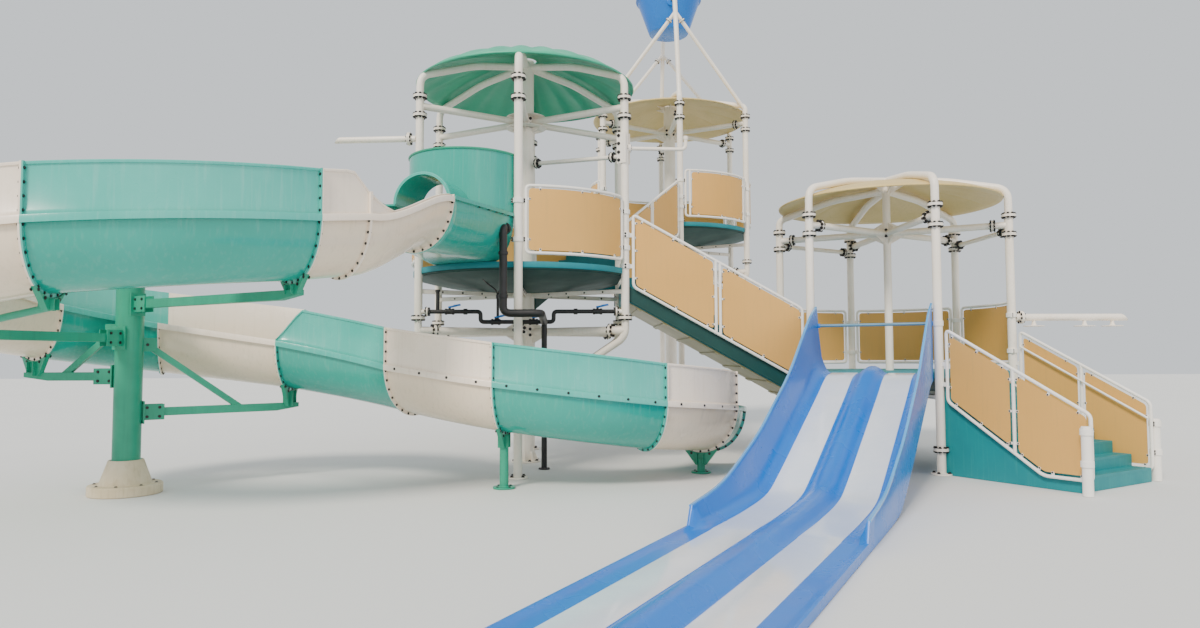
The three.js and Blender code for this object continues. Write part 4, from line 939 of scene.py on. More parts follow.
@dataclass
class RoofArms:
    """Curved arms from the posts to the hub over the column."""

    plan: TowerPlan
    hub_top: float
    sets: tuple[tuple[tuple[int, ...], float, float, float], ...]
    node: str

    def build(self) -> None:
        """Builds the arms, their flanges and their hub."""
        plan, steel, bolts = self.plan, Mould(), Fasteners()
        hub_r = plan.column + 0.005
        profile = [
            (hub_r - 0.004, plan.hub_low), (hub_r, plan.hub_low + 0.004), (hub_r, self.hub_top - 0.004),
            (hub_r - 0.004, self.hub_top),
        ]
        steel.spin(profile, plan.centre(0), sides=40)
        for posts, shoulder, knee, hub in self.sets:
            for i in posts:
                self._arm(steel, bolts, i, shoulder, knee, hub)
        steel.piece(f"{plan.name}_roof_tubes", [CREAM_COAT], "cream_steel", [self.node])
        bolts.piece(f"{plan.name}_roof_bolts", *POST_HEAD)

    def _arm(self, steel: Mould, bolts: Fasteners, i: int, shoulder: float, knee: float, hub: float) -> None:
        """One arm with its flange at the post and its gussets at the hub."""
        plan = self.plan
        corners = [
            plan.corner(i, plan.high + 0.001), plan.corner(i, shoulder), plan.corner(i, knee, POST_CIRCLE / 2),
            plan.corner(i, hub, plan.column - 0.01),
        ]
        steel.tube(bend(corners, 0.19, 9), ARM_R, 24)
        steel.washer(plan.corner(i, plan.high), UP, POST_R - 0.01, FLANGE_R, FLANGE_T)
        bolts.pair(plan.corner(i, plan.high - FLANGE_T), plan.corner(i, plan.high + FLANGE_T), POST_BOLTS)
        fall = (corners[3] - corners[2]).normalized()
        root = plan.corner(i, hub, plan.column) - UP * (ARM_R - 0.004)
        low = max(plan.hub_low + 0.01, root.z - 0.16) - root.z
        if low < -0.03:
            gusset(steel, root, root - fall * 0.24, root + UP * low)


@dataclass
class Canopy:
    """A round canopy shell with folds that fade out at its rim."""

    plan: TowerPlan
    node: str
    finish: Finish
    slot: str
    radius: float
    thick: float
    folds: float
    fold_height: float
    sharpness: float

    def build(self) -> None:
        """Builds the shell from the canopy tree and gives it its wall."""
        plan = self.plan
        seed = bpy.data.meshes.new(f"{plan.name}_canopy_seed")
        values = {
            "Radius": self.radius, "Rise": plan.crown - plan.rim, "Folds": self.folds,
            "Fold height": self.fold_height, "Fold sharpness": self.sharpness, "Finish": self.finish.material(),
        }
        mesh = CanopyTree.run(seed, values, f"{plan.name}_canopy_shell")
        mesh.transform(Matrix.Translation(plan.centre(plan.crown)))
        work = bmesh.new()
        work.from_mesh(mesh)
        bmesh.ops.remove_doubles(work, verts=work.verts, dist=0.0003)
        bmesh.ops.recalc_face_normals(work, faces=work.faces)
        if sum(f.normal.z for f in work.faces) < 0:
            bmesh.ops.reverse_faces(work, faces=work.faces)
        work.to_mesh(mesh)
        work.free()
        mesh.shade_smooth()
        made = new_object(f"{plan.name}_canopy", mesh)
        wall = made.modifiers.new("wall", "SOLIDIFY")
        wall.thickness, wall.offset = self.thick, 1.0
        hand_in(made, self.slot, [self.node], "structure")


@dataclass
class Deck:
    """A moulded deck whose edges bow out between the posts on some sides."""

    plan: TowerPlan
    bowed: tuple[int, ...]
    inset: float = 0.02
    chords: int = 14
    channel: tuple[float, float] = (0.055, 0.07)

    def _outline(self, scale_in: float, level: float) -> list[Vector]:
        """The deck's outline, set in by a distance."""
        scale = 1 - scale_in / (POST_CIRCLE - self.inset)
        points = []
        for side in range(6):
            count = self.chords if side in self.bowed else 1
            for k in range(count):
                if count == 1:
                    point = self.plan.corner(side, level, POST_CIRCLE - self.inset)
                else:
                    point = self.plan.arc(side, k / count, -self.inset, level)
                centre = self.plan.centre(level)
                points.append(centre + (point - centre) * scale)
        return points

    def build(self) -> None:
        """Builds the slab, its tapering underside and the channels that carry it."""
        plan, body = self.plan, Mould()
        slab = [(0.014, 0), (0.004, -0.004), (0, -0.014), (0, -0.084), (0.004, -0.092), (0.02, -0.094)]
        lip = [(0.02, -0.090), (0.014, -0.096), (0.014, -0.106), (0.02, -0.11)]
        pan = [(0.05, -0.10), (0.06, -0.125), (0.29, -0.182), (0.52, -0.23), (0.66, -0.245), (1.15, -0.34)]
        for finish, rows in ((0, slab), (1, lip), (1, pan)):
            body.loft([self._outline(inset, plan.deck + z) for inset, z in rows], finish)
        body.piece(f"{plan.name}_deck_moulding", [DECK_GRIP, DECK_SHADE], "teal_deck", [f"{plan.name}_deck"])
        self._channels()

    def _channels(self) -> None:
        """Radial channels bolted under the pan."""
        plan, steel, bolts = self.plan, Mould(), Fasteners()
        wide, high = self.channel
        level = plan.deck - 0.34 - high / 2
        for i in range(6):
            start, end = plan.corner(i, level, plan.column), plan.corner(i, level, POST_CIRCLE - POST_R * 0.8)
            across = UP.cross(end - start).normalized()
            length = (end - start).length
            middle = (start + end) / 2
            steel.block(middle + UP * (high / 2 - 0.004), end - start, across, (length, wide, 0.008))
            for sign in (-1, 1):
                web = middle + across * sign * (wide / 2 - 0.004)
                steel.block(web, end - start, across, (length, 0.008, high))
            for k in range(4):
                spot = start.lerp(end, 0.2 + 0.2 * k)
                bolts.put(spot + across * wide / 2, across)
                bolts.put(spot - across * wide / 2, -across)
        steel.piece(f"{plan.name}_deck_channels", [CREAM_COAT], "cream_steel")
        bolts.piece(f"{plan.name}_channel_bolts", *TRIM_HEAD)


@dataclass
class DeckFrame:
    """Beams under a deck, with the knees that carry four posts back to the column."""

    plan: TowerPlan
    joint: float
    level: float
    knee_top: float
    knee_foot: float

    def build(self) -> None:
        """Builds the beams, knees and sleeves with their flanges, gussets and bolts."""
        plan, steel, bolts = self.plan, Mould(), Fasteners()
        for level in (self.level, self.knee_foot + 0.06):
            sleeve(steel, bolts, plan, level)
        for i in range(6):
            self._beam(steel, bolts, i)
            if i % 3:
                self._knee(steel, bolts, i)
        steel.piece(f"{plan.name}_deck_beams", [CREAM_COAT], "cream_steel", [f"{plan.name}_deck_frame"])
        bolts.piece(f"{plan.name}_beam_bolts", *BEAM_HEAD)

    def _beam(self, steel: Mould, bolts: Fasteners, i: int) -> None:
        """One radial beam from the column to a post or a knee."""
        plan, out = self.plan, self.plan.outward(i)
        radius = POST_R if i % 3 else BEAM_R
        reach = POST_CIRCLE if i % 3 else POST_CIRCLE - POST_R - GAP
        start = plan.corner(i, self.level, plan.column + SLEEVE_T - 0.006)
        steel.bar(start, plan.corner(i, self.level, reach), radius, 24)
        joint = plan.corner(i, self.level, POST_CIRCLE - 0.26)
        flange_pair(steel, bolts, joint, out, radius + 0.038, radius)
        root = plan.corner(i, self.level, plan.column + SLEEVE_T - 0.004)
        for sign in (-1, 1):
            edge = root + UP * sign * (radius - 0.004)
            gusset(steel, edge - out * 0.03, edge + out * 0.2, edge - out * 0.03 + UP * sign * 0.13)

    def _knee(self, steel: Mould, bolts: Fasteners, i: int) -> None:
        """One knee from a post's flange back to the column."""
        plan = self.plan
        corners = [
            plan.corner(i, self.joint - 0.0006), plan.corner(i, self.knee_top),
            plan.corner(i, self.knee_foot, plan.column + SLEEVE_T / 2),
        ]
        steel.tube(bend(corners, 0.23, 10), POST_R - 0.006, 24)
        steel.washer(plan.corner(i, self.joint - 0.0006), -UP, POST_R - 0.012, FLANGE_R, FLANGE_T)
        bolts.pair(plan.corner(i, self.joint - FLANGE_T), plan.corner(i, self.joint + FLANGE_T), POST_BOLTS)


# ---- Guards and stair sides


def inset_outline(points: Rows, by: float) -> list[tuple[float, float]]:
    """Sets a flat outline in by a distance.

    Args:
        points: Corners, in either sense of turning.
        by: Distance to move every edge inwards.

    Returns:
        The corners of the smaller outline.
    """
    area = sum(a[0] * b[1] - b[0] * a[1] for a, b in zip(points, [*points[1:], points[0]]))
    sense = 1.0 if area > 0 else -1.0
    made = []
    for i, here in enumerate(points):
        before, after = points[i - 1], points[(i + 1) % len(points)]
        d0 = Vector((here[0] - before[0], here[1] - before[1])).normalized()
        d1 = Vector((after[0] - here[0], after[1] - here[1])).normalized()
        n0, n1 = Vector((-d0.y, d0.x)) * sense, Vector((-d1.y, d1.x)) * sense
        both = (n0 + n1) / (1 + n0.dot(n1))
        made.append((here[0] + both.x * by, here[1] + both.y * by))
    return made


@dataclass
class RailParts:
    """The tubes, sheets, screws and bolts of one guard or stair side."""

    steel: Mould = field(default_factory=Mould)
    sheet: Mould = field(default_factory=Mould)
    screws: Fasteners = field(default_factory=Fasteners)
    bolts: Fasteners = field(default_factory=Fasteners)

    def pieces(self, name: str, frame: str, node: str) -> None:
        """Builds the four pieces, of which the sheets stand for the CAD node."""
        self.steel.piece(f"{name}_{frame}", [WHITE_COAT], "cream_steel")
        self.sheet.piece(f"{name}_panels", [TAN_SHEET], "tan_panel", [node])
        self.screws.piece(f"{name}_screws", *SCREW_HEAD)
        self.bolts.piece(f"{name}_bolts", *CLAMP_HEAD)


@dataclass
class FramedPanel:
    """A tube frame with a panel in each of its bays, held by clips.

    The place function turns (along, up, through) into a point, so that the same frame can be flat
    or bowed.
    """

    place: Callable[[float, float, float], Vector]
    parts: RailParts
    gap: float = 0.018
    step: float = 0.14
    clip: tuple[float, float] = (0.03, 0.05)

    def frame(self, outline: Rows, cut: float = 0.07) -> None:
        """Adds the frame's tube, whose centre follows the outline."""
        flat = bend([Vector((u, v, 0)) for u, v in outline], cut, 6, loop=True)
        path = [self.place(p.x, p.y, 0) for p in divide(flat, self.step, loop=True)]
        self.parts.steel.tube(path, GUARD_R, 14, loop=True)

    def upright(self, along: float, low: float, high: float) -> None:
        """Adds an upright tube in the frame."""
        self.parts.steel.bar(self.place(along, low, 0), self.place(along, high, 0), GUARD_R, 14)

    def panel(self, bay: Rows, cut: float = 0.05) -> None:
        """Adds a panel in a bay given by the centre lines of its tubes, with its clips."""
        edge = inset_outline(bay, GUARD_R + self.gap)
        flat = bend([Vector((u, v, 0)) for u, v in edge], cut, 5, loop=True)
        self.parts.sheet.loft([[self.place(p.x, p.y, t) for p in flat] for t in (PANEL_T / 2, -PANEL_T / 2)])
        self._clips(bay)

    def bowed_panel(self, first: float, last: float, low: float, high: float, cut: float = 0.05) -> None:
        """Adds a panel that follows a bow, in a bay given by the centre lines of its tubes."""
        edge = GUARD_R + self.gap
        a, b, c, d = first + edge, last - edge, low + edge, high - edge
        t = PANEL_T / 2
        starts = [(a + cut * (1 - math.cos(x)), cut * (1 - math.sin(x))) for x in (0.0, 0.4, 0.8, 1.2, 1.57)]
        count = max(2, math.ceil((b - a) / self.step))
        middle = [(a + cut + (b - a - 2 * cut) * k / count, 0.0) for k in range(1, count)]
        stations = [*starts, *middle, *[(b - (u - a), v) for u, v in reversed(starts)]]
        rings = []
        for u, less in stations:
            ring = [(c + less, t), (d - less, t), (d - less, -t), (c + less, -t)]
            rings.append([self.place(u, v, w) for v, w in ring])
        self.parts.sheet.loft(rings)
        self._clips([(first, low), (last, low), (last, high), (first, high)])

    def _clips(self, bay: Rows) -> None:
        """Adds clips that bridge the gap between the panel and the tubes round it."""
        long, deep = self.clip
        for i, (u0, v0) in enumerate(bay):
            u1, v1 = bay[(i + 1) % len(bay)]
            edge = math.hypot(u1 - u0, v1 - v0)
            if edge < 0.3:
                continue
            du, dv = (u1 - u0) / edge, (v1 - v0) / edge
            middle = [sum(p[k] for p in bay) / len(bay) for k in (0, 1)]
            nu, nv = -dv, du
            if nu * (middle[0] - u0) + nv * (middle[1] - v0) < 0:
                nu, nv = -nu, -nv
            for share in (0.2, 0.8) if edge < 1.1 else (0.12, 0.5, 0.88):
                u = u0 + (u1 - u0) * share + nu * (GUARD_R + deep / 2 - 0.006)
                v = v0 + (v1 - v0) * share + nv * (GUARD_R + deep / 2 - 0.006)
                here = self.place(u, v, 0)
                along = self.place(u + du * 0.01, v + dv * 0.01, 0) - here
                across = self.place(u + nu * 0.01, v + nv * 0.01, 0) - here
                self.parts.steel.block(here, along, across, (long, deep, 0.026))
                normal = along.cross(across).normalized()
                for sign in (-1, 1):
                    spot = here + across.normalized() * 0.012
                    self.parts.screws.put(spot + normal * sign * 0.013, normal * sign)


@dataclass
class Guards:
    """Bowed guards between neighbouring posts, on clamps."""

    plan: TowerPlan
    sides: tuple[int, ...]
    node: str
    doubled: bool = False
    arc_length: float = POST_CIRCLE * math.pi / 3

    def build(self) -> None:
        """Builds the guards of these sides."""
        parts = RailParts()
        for side in self.sides:
            self._guard(side, parts)
        for i in [*self.sides, self.sides[-1] + 1]:
            self._clamps(i, parts)
        parts.pieces(self.node, "frames", self.node)

    def _guard(self, side: int, parts: RailParts) -> None:
        """One guard: its frame, panel and the stubs to the clamps."""
        deck, arc = self.plan.deck, self.arc_length

        def place(along: float, up: float, through: float) -> Vector:
            """A point by distance along the bow, level over the deck and distance outwards."""
            return self.plan.arc(side, along / arc, through, deck + up)

        panel = FramedPanel(place, parts)
        a, b = GUARD_SETBACK, arc - GUARD_SETBACK
        panel.frame([(a, GUARD_LOW), (b, GUARD_LOW), (b, GUARD_HIGH), (a, GUARD_HIGH)])
        if self.doubled:
            for along in (a + 0.1, b - 0.1):
                panel.upright(along, GUARD_LOW, GUARD_HIGH)
            a, b = a + 0.1, b - 0.1
        panel.bowed_panel(a, b, GUARD_LOW, GUARD_HIGH)
        for up in CLAMP_LEVELS:
            for near, far in ((GUARD_SETBACK, POST_R + 0.008), (arc - GUARD_SETBACK, arc - POST_R - 0.008)):
                parts.steel.strut(place(near, up, 0), place(far, up, 0), UP, 0.05, 0.026)

    def _clamps(self, i: int, parts: RailParts) -> None:
        """The split clamps on one post, bolted through on both faces."""
        out = self.plan.outward(i)
        across = UP.cross(out)
        for level in CLAMP_LEVELS:
            post = self.plan.corner(i, self.plan.deck + level)
            parts.steel.washer(post - UP * 0.035, UP, POST_R, POST_R + 0.018, 0.07)
            for sign in (-1, 1):
                lug = post + across * sign * (POST_R + 0.022)
                parts.steel.block(lug, across, UP, (0.03, 0.07, 0.03))
                for up in (-0.018, 0.018):
                    parts.bolts.put(lug + UP * up + out * 0.015, out)


@dataclass
class TowerStair:
    """A straight flight between two towers with a panelled side on each hand.

    The side is the tower's side that the flight leaves; top and bottom are the decks' levels.
    """

    name: str
    plan: TowerPlan
    side: int
    top: float
    bottom: float
    steps: int = 11
    run: float = STAIR_RUN
    drop: float = 0.26
    rail_high: float = 0.96
    stringer_high: float = 0.24
    ribs: int = 7

    def build(self) -> None:
        """Builds the flight, its treads and its two sides."""
        self._flight()
        self._treads()
        for hand, sign in (("left", 1), ("right", -1)):
            self._rail(hand, sign)

    def _line(self, out: float) -> float:
        """Level of the line through the nosings."""
        return self.top + (self.bottom - self.top) * out / self.run

    def _flight(self) -> None:
        """The moulded flight between its stringers over a ribbed soffit."""
        plan, side, body = self.plan, self.side, Mould()
        rise = (self.top - self.bottom) / self.steps
        going = self.run / (self.steps - 1)
        soffit = rise + self.drop + 0.10
        rows = [(0.0, self.top - soffit)]
        for k in range(self.steps - 1):
            level = self.top - (k + 1) * rise
            rows += [(k * going, level), ((k + 1) * going - 0.008, level), ((k + 1) * going, level - 0.008)]
        rows.append((self.run, self.bottom - soffit))
        half = STAIR_HALF - 0.02
        body.loft([[plan.beside(side, u, w, v) for u, v in rows] for w in (-half, half)])
        slope = (self.bottom - self.top) / self.run
        for k in range(self.ribs):
            out = self.run * (0.08 + 0.14 * k)
            level = self._line(out) - soffit - 0.012
            along = plan.beside(side, 1, 0, slope) - plan.beside(side, 0, 0, 0)
            body.block(plan.beside(side, out, 0, level), along, plan.across(side), (0.07, 2 * half - 0.06, 0.05), 1)
        under = [(0.02, -0.002), (self.run - 0.02, -0.002), (self.run - 0.02, -0.02), (0.02, -0.02)]
        sheet = [(u, self._line(u) - soffit + v) for u, v in under]
        body.loft([[plan.beside(side, u, w, v) for u, v in sheet] for w in (-half + 0.02, half - 0.02)], 1)
        for sign in (-1, 1):
            rings = []
            for w, ease in ((0.855, 0.004), (0.859, 0), (0.901, 0), (0.905, 0.004)):
                top, low = -self.drop - ease, -self.drop - self.stringer_high + ease
                a, b = GAP, self.run - GAP
                ring = [(a, top), (b, top), (b, low), (a, low)]
                rings.append([plan.beside(side, u, sign * w, self._line(u) + v) for u, v in ring])
            body.loft(rings, 2)
        # The soffit and its ribs take the olive painted shade; the stringers take the dark painted shade of the
        # undersides.
        body.piece(f"{self.name}_steps", [DECK_GRIP, SOFFIT_SHADE, DECK_SHADE], "teal_deck", [f"{self.name}_flight"])

    def _treads(self) -> None:
        """The nosings and grip ribs, from the tread tree."""
        count = self.steps - 1
        rise = (self.top - self.bottom) / self.steps
        going = self.run / count
        tread_row(f"{self.name}_nosings", self.plan, self.side, count, going, rise, self.top - rise, 2 * STAIR_HALF)

    def _rail(self, hand: str, sign: int) -> None:
        """One side: a sloping frame with two panelled bays and a doubled middle post."""
        plan, side = self.plan, self.side
        parts, left = RailParts(), sign * STAIR_SIDE

        def place(out: float, level: float, through: float) -> Vector:
            """A point by distance down the stair, level and distance through the side."""
            return plan.beside(side, out, left + through, level)

        r = GUARD_R
        start, end = POST_R + 0.045 + r, self.run - POST_R - 0.045 - r
        lift = r * math.hypot(1, (self.bottom - self.top) / self.run)

        def low(u: float) -> float:
            """Level of the low tube's axis by distance down the stair."""
            return self._line(u) - self.drop + lift

        def high(u: float) -> float:
            """Level of the top tube's axis by distance down the stair."""
            return self._line(u) + self.rail_high - lift

        panel = FramedPanel(place, parts)
        panel.frame([(start, low(start)), (end, low(end)), (end, high(end)), (start, high(start))])
        middle = (start + end) / 2
        for u in (middle - 0.035, middle + 0.035):
            panel.upright(u, low(u), high(u))
        for a, b in ((start, middle - 0.035), (middle + 0.035, end)):
            panel.panel([(a, low(a)), (b, low(b)), (b, high(b)), (a, high(a))])
        for u, post in ((start, POST_R * 0.9), (end, self.run - POST_R * 0.9)):
            for level in (self._line(u) + 0.1, self._line(u) + 0.6):
                parts.steel.strut(place(u, level, 0), place(post, level, 0), UP, *FLAT_ARM)
                self._collar(place(0 if u == start else self.run, level, 0), parts)
        parts.pieces(f"{self.name}_{hand}", "frame", f"{self.name}_{hand}_side")

    def _collar(self, post: Vector, parts: RailParts) -> None:
        """The split collar that holds a side on a post."""
        parts.steel.washer(post - UP * COLLAR_H / 2, UP, POST_R - 0.004, POST_R + 0.015, COLLAR_H)
        across = self.plan.across(self.side)
        for sign in (-1, 1):
            face = post + across * sign * (POST_R + 0.014)
            for up in (-0.022, 0.022):
                parts.bolts.put(face + UP * up, across * sign)


def tread_row(
    name: str, plan: TowerPlan, side: int, count: int, going: float, rise: float, first: float, width: float
) -> None:
    """Builds the nosings and grip ribs of a flight from the tread tree.

    Args:
        name: Name of the piece.
        plan: Tower that the flight leaves.
        side: Side of the tower.
        count: Number of treads.
        going: Depth of a tread.
        rise: Height of a step.
        first: Level of the first tread.
        width: Width over the treads.
    """
    seed = bpy.data.meshes.new(name + "_seed")
    values = {"Count": count, "Going": going, "Rise": rise, "Width": width - 0.16, "Finish": DECK_EDGE.material()}
    mesh = TreadTree.run(seed, values, name)
    out = plan.away(side)
    turn = Matrix((out, UP.cross(out), UP)).transposed().to_4x4()
    mesh.transform(Matrix.Translation(plan.beside(side, going, 0, first)) @ turn)
    made = new_object(name, mesh)
    hand_in(made, "teal_deck", (), "structure")


@dataclass
class DownStair:
    """The closed flight down from tower C into the water, with its two sides."""

    plan: TowerPlan = TOWER_C
    run: float = 2.0
    steps: int = 8
    # Level at the deck and slope of the rails' tops and undersides, and the level of the part over the foot
    top: float = 2.25
    slope: float = -0.563
    low: float = 1.15
    under: float = -0.655
    foot_level: float = 0.15
    front_end: float = 2.18
    rear_end: float = 2.02
    newel_r: float = 0.064
    newel_top: float = 0.87
    newel_aside: float = 0.112

    def build(self) -> None:
        """Builds the flight and its sides."""
        self._flight()
        for hand, left, end in (("front", STAIR_SIDE, self.front_end), ("rear", -STAIR_SIDE, self.rear_end)):
            self._rail(hand, left, end)

    def _flight(self) -> None:
        """The moulded flight down to the floor."""
        plan, body = self.plan, Mould()
        going, rise = self.run / self.steps, (plan.deck - 0.03) / (self.steps + 1)
        rows = [(GAP, 0.0)]
        for k in range(self.steps):
            level = plan.deck - (k + 1) * rise
            nose = (k + 1) * going
            rows += [(max(k * going, GAP), level), (nose - 0.008, level), (nose, level - 0.008)]
        rows.append((self.run, 0.0))
        half = STAIR_HALF
        body.loft([[plan.beside(0, u, w, v) for u, v in rows] for w in (-half, half)])
        body.piece("down_stair_steps", [TEAL_STEP], "teal_deck", ["down_stair_flight"])
        tread_row("down_stair_nosings", plan, 0, self.steps, going, rise, plan.deck - rise, 2 * half)

    def _rail(self, hand: str, left: float, end: float) -> None:
        """One side with its frame, two panels, newel and handrail."""
        plan, r, parts = self.plan, GUARD_R, RailParts()
        steel, bolts, outward = parts.steel, parts.bolts, math.copysign(1, left)

        def place(out: float, level: float, through: float) -> Vector:
            """A point by distance down the stair, level and distance through the side."""
            return plan.beside(0, out, left + through, level)

        start, stop = POST_R + 0.045 + r, end - r
        lift = r * math.hypot(1, self.slope)

        def high(u: float) -> float:
            """Level of the top tube's axis by distance down the stair."""
            return self.top + self.slope * u - lift

        def low(u: float) -> float:
            """Level of the low tube's axis by distance down the stair."""
            return self.low + self.under * u + lift

        level = self.foot_level + r
        knee = (level - self.low - lift) / self.under
        middle = (start + stop) / 2
        panel = FramedPanel(place, parts, 0.032)
        panel.frame([(start, low(start)), (knee, level), (stop, level), (stop, high(stop)), (start, high(start))])
        panel.upright(middle, low(middle), high(middle))
        shared = [(middle, low(middle)), (middle, high(middle))]
        panel.panel([(start, low(start)), *shared, (start, high(start))])
        panel.panel([shared[0], (knee, level), (stop, level), (stop, high(stop)), shared[1]])

        def rail(u: float, through: float) -> Vector:
            """A point level with the handrail by distance down the stair."""
            return place(u, high(u) - 0.25 + lift, through)

        inside = -outward * 0.062
        steel.bar(rail(start + 0.03, inside), rail(end - 0.03, inside), 0.016, 14)
        for u in (start + 0.04, middle, end - 0.06):
            steel.bar(rail(u, 0), rail(u, inside), 0.01, 10)
        newel = place(end - r, 0, outward * self.newel_aside)
        top, front = self.newel_top, plan.away(0)
        profile = [(self.newel_r, 0), (self.newel_r, top - 0.01), (self.newel_r - 0.008, top)]
        steel.spin(profile, newel, sides=28)
        for up in (0.4, 0.8):
            first = place(end - r, up, 0)
            second = newel + UP * up
            steel.strut(first, second, UP, *FLAT_ARM)
            steel.washer(second - UP * COLLAR_H / 2, UP, self.newel_r - 0.004, self.newel_r + 0.014, COLLAR_H)
            for side in (-0.018, 0.018):
                bolts.put(first.lerp(second, 0.3) + front * 0.017 + UP * side, front)
        for up in (low(start) + 0.25, low(start) + 0.55):
            steel.strut(place(start, up, 0), place(POST_R * 0.9, up, 0), UP, *FLAT_ARM)
        parts.pieces(f"down_stair_{hand}", "frame", f"down_stair_{hand}_side")


# ---- Flume

TROUGH_W = 0.530
TROUGH_D = 0.660
TROUGH_T = 0.018
TROUGH_LIP = 0.062
WALL_H = 0.520
RING_OUT = 0.056
RING_T = 0.014


@dataclass(frozen=True)
class FlumePart:
    """One moulded piece of the flume; walls are given as (share of the piece, share of full height)."""

    cream: bool
    length: float
    turn: float
    fall: float
    left: tuple[tuple[float, float], ...] = ()
    right: tuple[tuple[float, float], ...] = ()
    eased: bool = False


FULL = ((0.0, 1.0), (1.0, 1.0))
FLUME_PARTS = (
    FlumePart(True, 1.33, -21, 0.47, ((0, 0.04), (0.78, 0.04), (1, 0.5)), (), True),
    FlumePart(True, 0.60, -3, 0.09, ((0, 0.5), (0.36, 1), (1, 1))),
    FlumePart(False, 2.33, -40, 0.23, FULL),
    FlumePart(True, 1.41, -42, 0.21, FULL),
    FlumePart(False, 1.41, -42, 0.21, FULL),
    FlumePart(True, 1.41, -42, 0.21, FULL),
    FlumePart(False, 1.56, -42, 0.21, FULL),
    FlumePart(True, 1.77, -21, 0.24, FULL),
    FlumePart(False, 2.08, -32, 0.34, ((0, 1), (1, 0.04)), ((0, 0.04), (0.2, 1), (1, 1))),
    FlumePart(True, 1.44, 22, 0.22, (), FULL),
    FlumePart(False, 1.98, 40, 0.28, (), FULL),
    FlumePart(True, 1.43, 37, 0.14, (), FULL),
    FlumePart(False, 0.90, 12, 0.09),
)


@dataclass(frozen=True)
class Station:
    """A place on the flume's line with its heading in degrees."""

    x: float
    y: float
    z: float
    heading: float

    @property
    def forward(self) -> Vector:
        """The level direction that the water runs in."""
        return heading_vector(self.heading)

    def spot(self, left: float, up: float) -> Vector:
        """A point of the section at this station."""
        a = math.radians(self.heading)
        return Vector((self.x - left * math.sin(a), self.y + left * math.cos(a), self.z + up))

    def along(self, part: FlumePart, share: float) -> "Station":
        """The station at a share of a piece that starts here."""
        turn, heading = math.radians(part.turn) * share, math.radians(self.heading)
        chord = 2 * part.length * share / turn * math.sin(turn / 2) if turn else part.length * share
        fall = share * share * (3 - 2 * share) if part.eased else share
        return Station(
            self.x + chord * math.cos(heading + turn / 2), self.y + chord * math.sin(heading + turn / 2),
            self.z - part.fall * fall, self.heading + part.turn * share,
        )


def flume_joints() -> list[Station]:
    """The start of every piece of the flume, and the end of the last."""
    joints = [Station(-1.3, -3.06, 3.21, 251.5)]
    for part in FLUME_PARTS:
        joints.append(joints[-1].along(part, 1.0))
    return joints


def spaced(points: Sequence[Vector], spacing: float) -> list[Vector]:
    """Points along a line at equal distances of about a given spacing."""
    total = sum((b - a).length for a, b in zip(points, points[1:]))
    count = max(1, round(total / spacing))
    made, target, walked = [], total / count / 2, 0.0
    for a, b in zip(points, points[1:]):
        length = (b - a).length
        while target <= walked + length and len(made) < count:
            made.append(a.lerp(b, (target - walked) / max(length, 1e-6)))
            target += total / count
        walked += length
    return made


